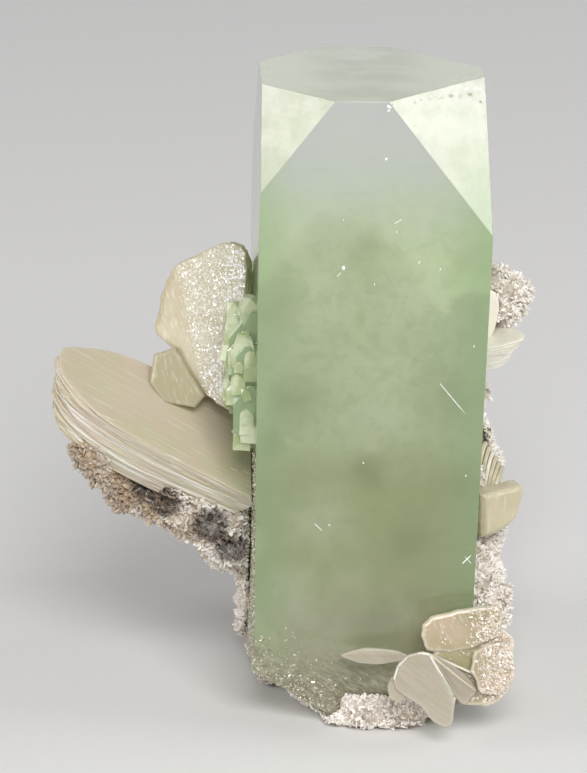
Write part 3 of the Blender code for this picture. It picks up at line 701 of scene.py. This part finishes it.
class SPECIMEN_OT_small_crystals(bpy.types.Operator):
    """Sets the small green crystals that crowd the prism's left wall"""

    bl_idname = "specimen.small_crystals"
    bl_label = "Small crystals"

    def execute(self, context):
        draw = np.random.default_rng(23)
        wall = table_place(-11.35, 0, 0).x
        spots, _ = scatter(
            bpy.data.objects["apophyllite_crystal"].data, SMALL_CRYSTALS_DRAWN, draw,
            lambda middles, ways: ((middles[:, 0] < wall) & (ways[:, 1] < 0.5)) * 1.0)
        crowded = (spots[:, 0] < wall) & (spots[:, 2] > 27.2 * MM) & (spots[:, 2] < 39.5 * MM)
        spots = spots[crowded][:SMALL_CRYSTALS]
        count = len(spots)
        sizes = draw.uniform(*SMALL_CRYSTAL_SIZE, count) * MM
        spots[:, 1] += 0.25 * sizes
        spots[:, 0] += 0.2 * sizes
        scales = np.stack([sizes, sizes, sizes * draw.uniform(1.0, 1.7, count)], axis=1)
        ups = np.array((0.0, 0.0, 1.0)) + draw.normal(size=(count, 3)) * 0.12
        sides = np.array((1.0, 0.04, 0.0)) + draw.normal(size=(count, 3)) * 0.2
        mesh = small_shapes(
            "apophyllite_small_crystals", SMALL_CRYSTAL_POINTS, SMALL_CRYSTAL_FACES, spots, ups, sides,
            scales, {"shade": draw.random(count)})
        finish_piece(linked(mesh.name, mesh), small_crystal_material(), "fluorapophyllite")
        return {"FINISHED"}


BLADE_POINTS = np.array([
    (-0.5, -0.5, 0.0), (0.5, -0.5, 0.0), (0.5, 0.5, 0.0), (-0.5, 0.5, 0.0),
    (-0.5, -0.5, 0.78), (0.5, -0.5, 0.78), (0.5, 0.5, 0.78), (-0.5, 0.5, 0.78),
    (-0.22, 0.0, 1.0), (0.22, 0.0, 1.0),
])
BLADE_FACES = (
    (3, 2, 1, 0), (0, 1, 5, 4), (1, 2, 6, 5), (2, 3, 7, 6), (3, 0, 4, 7),
    (4, 5, 9, 8), (6, 7, 8, 9), (5, 6, 9), (7, 4, 8),
)
BLADE_FLATNESS = 0.38  # a blade's thickness, as a share of its width


def small_shapes(name, points, faces, roots, ups, sides, scales, values):
    """Many copies of a small closed shape in one mesh. values holds one number a copy for each attribute."""
    count = len(roots)
    ups = ups / np.linalg.norm(ups, axis=1, keepdims=True)
    fronts = np.cross(ups, sides)
    fronts /= np.linalg.norm(fronts, axis=1, keepdims=True)
    axes = np.stack([np.cross(fronts, ups), fronts, ups], axis=1) * scales[:, :, None]
    placed = (roots[:, None] + points @ axes).reshape(-1, 3)
    corners = np.concatenate(faces)
    totals = np.tile([len(face) for face in faces], count)
    mesh = bpy.data.meshes.new(name)
    mesh.vertices.add(len(placed))
    mesh.vertices.foreach_set("co", placed.ravel())
    mesh.loops.add(len(corners) * count)
    mesh.loops.foreach_set("vertex_index", (np.arange(count)[:, None] * len(points) + corners).ravel())
    mesh.polygons.add(len(totals))
    mesh.polygons.foreach_set("loop_start", np.concatenate([[0], np.cumsum(totals)[:-1]]))
    mesh.update(calc_edges=True)
    values = {"tip": np.tile(points[:, 2], count)} | {
        key: np.repeat(one_each, len(points)) for key, one_each in values.items()}
    for attribute, one_each in values.items():
        layer = mesh.attributes.new(attribute, "FLOAT", "POINT")
        layer.data.foreach_set("value", one_each.astype(np.float32))
    mesh.validate()
    mesh.shade_flat()
    return mesh


def blade_mesh(name, roots, ways, lengths, widths, draw):
    """Many small chisel-tipped blades in one mesh, each turned and shaded in its own way."""
    scales = np.stack([widths, widths * BLADE_FLATNESS, lengths], axis=1)
    return small_shapes(
        name, BLADE_POINTS, BLADE_FACES, roots, ways, draw.normal(size=roots.shape), scales,
        {"shade": draw.random(len(roots))})


def scatter(mesh, count, draw, weigh):
    """Points and outward normals spread over a mesh's faces by area, times a weight by place and normal."""
    mesh.calc_loop_triangles()
    corners = np.empty(len(mesh.loop_triangles) * 3, np.int32)
    mesh.loop_triangles.foreach_get("vertices", corners)
    points = np.empty(len(mesh.vertices) * 3, np.float32)
    mesh.vertices.foreach_get("co", points)
    a, b, c = points.reshape(-1, 3).astype(float)[corners.reshape(-1, 3)].transpose(1, 0, 2)
    normals = np.cross(b - a, c - a)
    areas = np.linalg.norm(normals, axis=1)
    normals /= np.maximum(areas, 1e-20)[:, None]
    shares = areas * weigh((a + b + c) / 3, normals)
    chosen = draw.choice(len(shares), size=count, p=shares / shares.sum())
    u, v = draw.random(count), draw.random(count)
    over = u + v > 1
    u[over], v[over] = 1 - u[over], 1 - v[over]
    spots = a[chosen] + u[:, None] * (b - a)[chosen] + v[:, None] * (c - a)[chosen]
    return spots, normals[chosen]


NEAR = 1.5 * MM  # nothing that grows from the rock stands deeper in a crystal than this


def clearance(tree, points):
    """How far each point is outside a closed solid; below zero is inside."""
    found = np.empty(len(points))
    for i, point in enumerate(points):
        near, normal, _, distance = tree.find_nearest(Vector(point))
        inside = distance < NEAR and (Vector(point) - near).dot(normal) < 0
        found[i] = -distance if inside else distance
    return found


def on_front(tree, x, z):
    """The place on the prism's front where a table's X and Z are, in the table's frame and millimetres."""
    hit, *_ = tree.ray_cast(table_place(x, -40, z), Vector((0, 1, 0)))
    return np.array(hit / MM - AXIS)


def solid_tree(obj):
    bm = bmesh.new()
    bm.from_mesh(obj.data)
    tree = BVHTree.FromBMesh(bm)
    bm.free()
    return tree


class SPECIMEN_OT_matrix(bpy.types.Operator):
    """Makes the rough rock between and under the crystals"""

    bl_idname = "specimen.matrix"
    bl_label = "Matrix rock"

    def execute(self, context):
        sizes, colours = context.scene.specimen_sizes, context.scene.specimen_colours
        obj = cad_copy("matrix", "matrix_rock")
        apply(obj, "SUBSURF", subdivision_type="SIMPLE", levels=2, render_levels=2)
        relief = bpy.data.textures.new("Rock relief", "CLOUDS")
        relief.noise_scale, relief.noise_depth = 1.1 * MM, 3
        apply(
            obj, "DISPLACE", texture=relief, texture_coords="LOCAL", strength=sizes.rock_relief,
            mid_level=0.85)
        for vertex in obj.data.vertices:
            vertex.co.z = max(vertex.co.z, 0.0)
        finish_piece(obj, rock_material(colours), "matrix", "matrix")
        return {"FINISHED"}


DRUSE_PARTS = {  # range of X, range of Y, and shares of the blades' usual length and number
    "druse_arm": ((-99, -12.2), (-99, 99), 0.95, 1.0),
    "druse_foot": ((-12.2, 6.4), (-99, 6), 0.7, 0.35),
    "druse_right": ((6.4, 99), (-99, 99), 0.72, 1.0),
    "druse_back": ((-12.2, 6.4), (6, 99), 1.0, 0.8),
}
BLADE_GAP = 0.12 * MM  # how far blades' tips stay from the crystals, and how deep their roots are set
ROOT_GAP = 0.05 * MM
DRAWN_PER_BLADE = 4  # blades drawn for each one kept, since many would touch a crystal


class SPECIMEN_OT_druse(bpy.types.Operator):
    """Sets the tiny white blades that cover the rock"""

    bl_idname = "specimen.druse"
    bl_label = "Druse"

    def execute(self, context):
        sizes, colours = context.scene.specimen_sizes, context.scene.specimen_colours
        material = druse_material(colours)
        rock = bpy.data.objects["matrix_rock"]
        solids = [solid_tree(cad_node) for name, cad_node in frame["nodes"].items() if name != "matrix"]
        vugs = [(np.array(table_place(x, y, z)), radius * MM) for x, y, z, radius in ROCK_VUGS]
        for seed, (name, ((left, right), (near, far), length, number)) in enumerate(DRUSE_PARTS.items()):
            low, high = np.array(table_place(left, near, 0)), np.array(table_place(right, far, 0))
            draw = np.random.default_rng(40 + seed)
            wanted = round(sizes.blades * number)
            spots, normals = scatter(
                rock.data, wanted * DRAWN_PER_BLADE, draw,
                lambda middles, ways, low=low, high=high: (
                    np.all((middles > low)[:, :2] & (middles < high)[:, :2], axis=1)
                    & (middles[:, 2] > 0.2 * MM) & (ways[:, 2] > -0.96)) * 1.0)
            ways = normals * 0.75 + draw.normal(size=spots.shape) * 0.55
            lengths = sizes.blade_length * length * draw.uniform(0.5, 1.45, len(spots))
            up = ways / np.linalg.norm(ways, axis=1, keepdims=True)
            tips = spots + up * lengths[:, None]
            fits = tips[:, 2] > 0.15 * MM
            for centre, radius in vugs:
                fits &= np.linalg.norm(spots - centre, axis=1) > radius * draw.uniform(0.5, 1.3, len(spots))
            for tree in solids:
                fits &= (clearance(tree, tips) > BLADE_GAP) & (clearance(tree, spots) > ROOT_GAP)
            fits = np.flatnonzero(fits)[:wanted]
            spots, up, lengths = spots[fits], up[fits], lengths[fits]
            roots = spots - up * BLADE_GAP
            widths = sizes.blade_width * length * draw.uniform(0.6, 1.4, len(spots))
            mesh = blade_mesh(name, roots, up, lengths, widths, draw)
            finish_piece(linked(name, mesh), material, "matrix")
        return {"FINISHED"}


PLATE_RING = 40  # points round a regular plate
PLATE_CHAMFER = 0.18  # share of a plate's thickness
WIDEST_RIM = 0.05  # the widest chamfer and rim, as a share of the outline's narrower side


def plate_half_width(share, width, waist, blunt):
    widening = waist + (1 - waist) * min(1.0, share / 0.45)
    return width / 2 * widening * max(0.0, 1 - share ** (2 * blunt)) ** 0.5


def flat_plate(ring, thickness, rim, shade):
    """A plate with this outline in millimetres, with softened edges and a rim round each face."""
    widest = WIDEST_RIM * np.ptp(np.array(ring), axis=0).min()
    chamfer, rim = min(PLATE_CHAMFER * thickness, widest), min(rim, widest)
    inset = partial(bpy.ops.mesh.inset, use_individual=True, use_even_offset=False)
    bpy.ops.mesh.primitive_circle_add(vertices=len(ring), radius=1.0, fill_type="NGON")
    obj = bpy.context.object
    for vertex, (x, y) in zip(obj.data.vertices, ring):
        vertex.co = (x, y, 0)
    apply(obj, "SOLIDIFY", thickness=thickness - 2 * chamfer, offset=0.0)
    edit(
        obj,
        select_all,
        lambda: bpy.ops.mesh.normals_make_consistent(inside=False),
        lambda: select_where(obj, "FACE", lambda face: len(face.verts) == len(ring)),
        lambda: inset(thickness=chamfer, depth=chamfer),
        lambda: inset(thickness=rim, depth=0.05 * thickness),
    )
    inner = {i for face in obj.data.polygons if len(face.vertices) == len(ring) for i in face.vertices}
    count = len(obj.data.vertices)
    values = {"rim": [float(i not in inner) for i in range(count)], "shade": [shade] * count}
    for name, one_each in values.items():
        obj.data.attributes.new(name, "FLOAT", "POINT").data.foreach_set("value", one_each)
    return obj


def lamella(length, width, thickness, waist, blunt, rim, shade=0.0):
    """A stilbite plate along +X from the origin: narrow at its root, broad and round at its free end."""
    ring = []
    phase = length * 40  # makes each plate's edge wave in its own way
    for i in range(PLATE_RING):
        angle = 2 * math.pi * (i + 0.5) / PLATE_RING
        share = (math.cos(angle) + 1) / 2
        wave = 1 + 0.010 * math.sin(5 * angle + phase) + 0.008 * math.sin(9 * angle + 2 * phase)
        half = math.copysign(plate_half_width(share, width, waist, blunt), math.sin(angle))
        ring.append((share * length * wave, half * wave))
    return flat_plate(ring, thickness, rim, shade)


def rounded(corners, rounds):
    """An outline with its corners cut at 15 percent of each side, some times over."""
    points = np.array(corners)
    for _ in range(rounds):
        after = np.roll(points, -1, axis=0)
        points = np.stack([0.85 * points + 0.15 * after, 0.15 * points + 0.85 * after], axis=1)
        points = points.reshape(-1, 2)
    return points


BROKEN_STEP = 0.55  # millimetres between the small breaks in an outline


def broken(points, depth, draw):
    """An outline with small breaks along its sides."""
    if not depth:
        return points
    made = []
    for here, after in zip(points, np.roll(points, -1, axis=0)):
        steps = max(1, round(np.linalg.norm(after - here) / BROKEN_STEP))
        made.extend(here + (after - here) * i / steps + draw.uniform(-depth, depth, 2) for i in range(steps))
    return np.array(made)


def outlined_plates(
        sizes, wall, y, lean, middle, thickness, corners, layers=1, pitch=0.0, rounds=1, breaks=0.0):
    """The layers of one plate with an outline of its own, from the front one back."""
    (right, up), (mid_x, mid_z) = lean, middle
    face = Vector((right, -1.0, up)).normalized()
    made = []
    draw = np.random.default_rng(len(corners) + layers)
    for i in range(layers):
        size = (1 - LAYER_SHRINK * i) * (1 + draw.uniform(-0.015, 0.015))
        ring = (broken(rounded(corners, rounds), breaks, draw) - middle) * size + draw.uniform(-0.12, 0.12, 2)
        obj = flat_plate(ring, thickness, sizes.plate_rim / MM, draw.random() * 0.5)
        place = Vector((mid_x, y, mid_z)) - face * pitch * i
        stand = Matrix((
            (1, 0, face.x, place.x), (right, up, face.y, place.y), (0, 1, face.z, place.z), (0, 0, 0, 1)))
        made.append(place_plate(obj, stand, wall))
    return made


WALL_GAP = 0.15  # between a plate's root and the prism's wall


def prism_wall(way):
    """A point a gap outside the prism's largest face that looks this way, and the face's normal."""
    obj = cad_copy("apophyllite", "wall_finder", flat_deg=FLAT_DEG)
    facing = [face for face in obj.data.polygons if face.normal.dot(Vector(way)) > 0.9]
    largest = max(facing, key=lambda face: face.area)
    point, normal = largest.center.copy(), largest.normal.copy()
    bpy.data.objects.remove(obj)
    return point + normal * WALL_GAP * MM, normal


def joined(name, objects):
    make_active(objects[0])
    for obj in objects:
        obj.select_set(True)
    if len(objects) > 1:
        bpy.ops.object.join()
    objects[0].data.validate()  # the cuts leave a few faces twice
    objects[0].name = name
    objects[0].data.name = name
    return objects[0]


def place_plate(obj, matrix, wall):
    """Moves a plate's mesh to its place and cuts off what would stand inside the prism."""
    obj.data.transform(IN_PLACE @ matrix)
    obj.data.update()
    point, normal = wall
    if min((vertex.co - point).dot(normal) for vertex in obj.data.vertices) < 0:
        edit(
            obj,
            select_all,
            lambda: bpy.ops.mesh.bisect(plane_co=point, plane_no=normal, use_fill=True, clear_inner=True),
        )
    return obj


BRIGHT_PLATES = 0.18  # share of a sheaf's plates whose rims are painted pale, as highlights where they end


def sheaf_plates(sizes, wall, place, along, normal, first, last, plates, width, thickness, pitch, seed,
                 splay, waist, blunt, pivot=0.0):
    """The plates of one sheaf, which part like the pages of a book."""
    draw = np.random.default_rng(seed)
    stand = frame_at(place, along, normal)
    made = []
    for i in range(plates):
        share = i / (plates - 1) - 0.5
        length = first + (last - first) * (share + 0.5)
        wobble = draw.uniform(-1, 1, 3) * (0.012, 0.010, 0.006)
        shade = 1.0 if draw.random() < BRIGHT_PLATES and i < plates - 1 else draw.uniform(0.0, 0.15)
        obj = lamella(
            length * (1 + wobble[0]), width * (1 + wobble[1]), thickness, waist, blunt, sizes.plate_rim / MM,
            shade)
        turn = (
            Matrix.Translation((0, 0, pitch * share * (plates - 1)))
            @ Matrix.Rotation(-math.radians(splay * share), 4, "Y")
            @ Matrix.Translation((-pivot * length, width * wobble[2], 0))
        )
        made.append(place_plate(obj, stand @ turn, wall))
    return made


class SPECIMEN_OT_stilbite(bpy.types.Operator):
    """Makes the stilbite blade, fans, tablets and rosette"""

    bl_idname = "specimen.stilbite"
    bl_label = "Stilbite"

    def execute(self, context):
        sizes, colours = context.scene.specimen_sizes, context.scene.specimen_colours
        left, right, front = (prism_wall(way) for way in ((-1, 0, 0), (1, 0, 0), (0, -1, 0)))
        walls = {
            "stilbite_left_blade": left, "stilbite_left_tablet": left, "stilbite_upper_left_sheaf": left,
            "stilbite_upper_right_sheaf": right, "stilbite_lower_right_sheaf": right,
            "stilbite_front_rosette": front, "clear": front,
        }
        groups = {name: sheaf_plates(sizes, walls[name], **spec) for name, spec in SHEAVES.items()}
        for name, place, along, normal, length, width, thickness, waist, blunt in PLATES:
            obj = lamella(length, width, thickness, waist, blunt, sizes.plate_rim / MM)
            groups[name].append(place_plate(obj, frame_at(place, along, normal), walls[name]))
        for spec in OUTLINES:
            name = spec["piece"]
            shape = {key: value for key, value in spec.items() if key != "piece"}
            groups.setdefault(name, []).extend(outlined_plates(sizes, walls[name], **shape))
        clear = joined("stilbite_front_rosette_clear_plates", groups.pop("clear"))
        finish_piece(clear, clear_stilbite_material(), "stilbite")
        tints = {
            "stilbite_left_blade": (colours.stilbite, colours.stilbite_blush),
            "stilbite_upper_left_sheaf": (colours.fan, colours.fan_tan),
            "stilbite_left_tablet": (colours.tablet, colours.tablet),
            "stilbite_upper_right_sheaf": (colours.stilbite_pale, colours.stilbite_pale),
            "stilbite_lower_right_sheaf": (colours.fan, colours.stilbite),
            "stilbite_front_rosette": (colours.rosette, colours.rosette_pink),
        }
        for name, plates in groups.items():
            obj = joined(name + "_plates", plates)
            along = SHEAVES[name]["along"] if name in SHEAVES else (-0.3, 0.0, 1.0)
            material = stilbite_material(name + "_pearly_plates", along, *tints[name])
            finish_piece(obj, material, "stilbite", name)
        return {"FINISHED"}


FLAKE_ANGLES = np.radians((15, 95, 200, 275))
FLAKE_POINTS = np.concatenate([
    np.stack([0.5 * np.cos(FLAKE_ANGLES), 0.5 * np.sin(FLAKE_ANGLES), np.full(4, height)], axis=1)
    for height in (-0.5, 0.5)
])
FLAKE_FACES = ((3, 2, 1, 0), (4, 5, 6, 7), *((i, (i + 1) % 4, (i + 1) % 4 + 4, i + 4) for i in range(4)))


def fan_cover(x, z):
    """How densely flakes cover the fan: not at all on the smooth wedge at its left."""
    return np.clip((0.970 * (x + 17.3) + 0.243 * (z - 34.6)) / 0.8, 0.0, 1.0)


def blade_cover(x, z):
    """Slivers lie on the blade's lower half."""
    return np.clip(1.0 - (0.465 * (x + 20.8) + 0.885 * (z - 26.0)) / 1.5, 0.02, 1.0) * (x > -29.0)


def rosette_cover(x, z):
    """Flakes crowd the rosette's right side."""
    return np.clip((x - 8.6) / 3.5, 0.02, 1.0)


# Flakes and slivers: the material with its dull and bright colours, the plates they lie on, length, slim as
# the range of width over length, and the X, Z and radius of spots where the flakes are painted whiter as
# highlights
FLAKES = (
    dict(name="stilbite_upper_left_sheaf_flakes", material=("stilbite_pearly_flakes", "#DAD1B8", "#FFFFFE"),
         ground="stilbite_upper_left_sheaf_plates", count=16000, length=0.27,
         slim=(0.4, 0.8), thickness=0.05, along=(-0.36, 0.1, 0.93), facing=(-0.28, -0.94, 0.18), tilt=0.3,
         cover=fan_cover, bright=((-12.6, 41.6, 1.4), (-12.3, 39.4, 1.3), (-13.4, 31.6, 2.2))),
    dict(name="stilbite_left_blade_slivers", material=("stilbite_bright_slivers", "#E2D8BE", "#FFFDF4"),
         ground="stilbite_left_blade_plates", count=900, length=1.5,
         slim=(0.04, 0.08), thickness=0.05, along=(-0.885, 0.0, 0.465), facing=(0.38, -0.52, 0.76), tilt=0.06,
         cover=blade_cover, bright=((-22.5, 25.8, 1.2), (-18.3, 28.0, 1.3), (-14.5, 24.6, 2.2))),
    dict(name="stilbite_front_rosette_flakes", material=("stilbite_pink_flakes", "#D4BFAA", "#F8EFE3"),
         ground="stilbite_front_rosette_plates", count=5200, length=0.28,
         slim=(0.4, 0.8), thickness=0.06, along=(0.6, 0.0, -0.8), facing=(0.15, -0.96, 0.2), tilt=0.3,
         cover=rosette_cover, bright=((13.2, 8.6, 0.8), (12.8, 4.6, 0.8), (10.0, 10.4, 0.7))),
)
DRAWN_PER_FLAKE = 4  # flakes drawn for each one kept, since the covers leave many out


class SPECIMEN_OT_flakes(bpy.types.Operator):
    """Sets the small flakes and slivers that make the stilbite's front faces rough and sparkling"""

    bl_idname = "specimen.flakes"
    bl_label = "Stilbite flakes"

    def execute(self, context):
        for seed, spec in enumerate(FLAKES):
            draw = np.random.default_rng(70 + seed)
            facing, count = np.array(spec["facing"]), spec["count"]
            spots, normals = scatter(
                bpy.data.objects[spec["ground"]].data, count * DRAWN_PER_FLAKE, draw,
                lambda middles, ways, facing=facing: ((ways @ facing) > 0.8) * 1.0)
            x, _, z = (spots / MM - np.array(AXIS)).T
            kept = np.flatnonzero(draw.random(len(spots)) < spec["cover"](x, z))[:count]
            spots, normals, x, z, count = spots[kept], normals[kept], x[kept], z[kept], len(kept)
            faces = normals + draw.normal(size=spots.shape) * spec["tilt"]
            runs = np.array(spec["along"]) + draw.normal(size=spots.shape) * spec["tilt"]
            long_sides = spec["length"] * MM * draw.uniform(0.45, 1.4, count)
            short_sides = long_sides * draw.uniform(*spec["slim"], count)
            scales = np.stack([long_sides, short_sides, np.full(count, spec["thickness"] * MM)], axis=1)
            shade = 0.85 * draw.random(count)
            # Painted highlight: flakes near the bright spots are painted whiter.
            for spot_x, spot_z, radius in spec["bright"]:
                shade += np.exp(-((x - spot_x) ** 2 + (z - spot_z) ** 2) / radius ** 2)
            mesh = small_shapes(
                spec["name"], FLAKE_POINTS, FLAKE_FACES, spots, faces, runs, scales,
                {"shade": np.minimum(shade, 1.0)})
            finish_piece(linked(mesh.name, mesh), flake_material(*spec["material"]), "stilbite")
        starts, ends = (np.array(points, float) for points in zip(*RIDGES))
        mesh = blade_mesh(
            "stilbite_front_rosette_ridges", starts, ends - starts, np.linalg.norm(ends - starts, axis=1),
            np.full(len(RIDGES), 0.22), np.random.default_rng(90))
        mesh.transform(IN_PLACE)
        finish_piece(linked(mesh.name, mesh), bpy.data.materials["stilbite_bright_slivers"], "stilbite")
        return {"FINISHED"}


SOFTBOXES = {  # place, width and height in metres, and how bright it looks
    "key_softbox": ((0.17, -0.93, 0.76), 0.66, 0.50, 10.0),
    "back_softbox": ((0.0, 0.62, 0.26), 0.5, 0.16, 0.78),
    "left_softbox": ((-0.60, -0.12, 0.31), 0.42, 0.26, 3.6),
    "right_softbox": ((0.60, 0.0, 0.30), 0.36, 0.26, 4.5),
    "front_softbox": ((-0.42, -0.66, 0.12), 0.24, 0.20, 4.6),
}
LIGHTS_TARGET = Vector((0.004, 0.0, 0.035))
ROOM_LIGHT = 0.25
FLOOR_SIZE = 6.0  # metres


def softbox(name, place, width, height, radiance):
    """A rectangular light that looks at the specimen. Its power follows from how bright it looks."""
    light = bpy.data.lights.new(name, "AREA")
    light.shape = "RECTANGLE"
    light.size, light.size_y = width, height
    light.energy = math.pi * width * height * radiance
    obj = linked(name, light)
    obj.location = place
    obj.rotation_euler = (LIGHTS_TARGET - Vector(place)).to_track_quat("-Z", "Y").to_euler()
    obj.visible_camera = False


class SPECIMEN_OT_stage(bpy.types.Operator):
    """Sets the floor, the soft lights and the camera"""

    bl_idname = "specimen.stage"
    bl_label = "Stage"

    def execute(self, context):
        scene, colours = context.scene, context.scene.specimen_colours
        deselect_all()
        bpy.ops.mesh.primitive_plane_add(size=FLOOR_SIZE, location=(0, 0, 0))
        floor = context.object
        floor.name = "floor"
        floor.data.materials.append(floor_material(colours))
        world = bpy.data.worlds.new("soft_room")
        world.use_nodes = True
        background = world.node_tree.nodes["Background"]
        set_inputs(world.node_tree, background, {"Color": linear("#E6E6EA"), "Strength": ROOM_LIGHT})
        scene.world = world
        for name, spec in SOFTBOXES.items():
            softbox(name, *spec)
        camera = linked("camera", bpy.data.cameras.new("camera"))
        camera.data.lens = CAMERA_LENS
        camera.data.sensor_width = 36.0
        camera.data.clip_start, camera.data.clip_end = 0.01, 20.0
        height = math.radians(CAMERA_HEIGHT_DEG)
        look_at = (Vector(CAMERA_TARGET) + AXIS) * MM
        camera.location = look_at + Vector((0, -math.cos(height), math.sin(height))) * CAMERA_DISTANCE * MM
        camera.rotation_euler = (math.pi / 2 - height, 0, 0)
        scene.camera = camera
        scene.view_settings.view_transform = "Standard"
        return {"FINISHED"}


OPERATORS = (
    SPECIMEN_OT_crystal,
    SPECIMEN_OT_inclusions,
    SPECIMEN_OT_small_crystals,
    SPECIMEN_OT_stilbite,
    SPECIMEN_OT_flakes,
    SPECIMEN_OT_matrix,
    SPECIMEN_OT_druse,
    SPECIMEN_OT_stage,
)


class VIEW3D_PT_specimen(bpy.types.Panel):
    """Lists the specimen's steps and sizes"""

    bl_label = "Specimen"
    bl_space_type = "VIEW_3D"
    bl_region_type = "UI"
    bl_category = "Specimen"

    def draw(self, context):
        for kind in OPERATORS:
            self.layout.operator(kind.bl_idname)
        for group in (context.scene.specimen_sizes, context.scene.specimen_colours):
            for name in group.__annotations__:
                self.layout.prop(group, name)


CLASSES = (SpecimenSizes, SpecimenColours, *OPERATORS, VIEW3D_PT_specimen)


def register():
    for kind in CLASSES:
        bpy.utils.register_class(kind)
    bpy.types.Scene.specimen_sizes = PointerProperty(type=SpecimenSizes)
    bpy.types.Scene.specimen_colours = PointerProperty(type=SpecimenColours)


def unregister():
    del bpy.types.Scene.specimen_colours
    del bpy.types.Scene.specimen_sizes
    for kind in reversed(CLASSES):
        bpy.utils.unregister_class(kind)


def main():
    register()
    for kind in OPERATORS:
        group, name = kind.bl_idname.split(".")
        getattr(getattr(bpy.ops, group), name)()


if __name__ == "__main__":
    main()
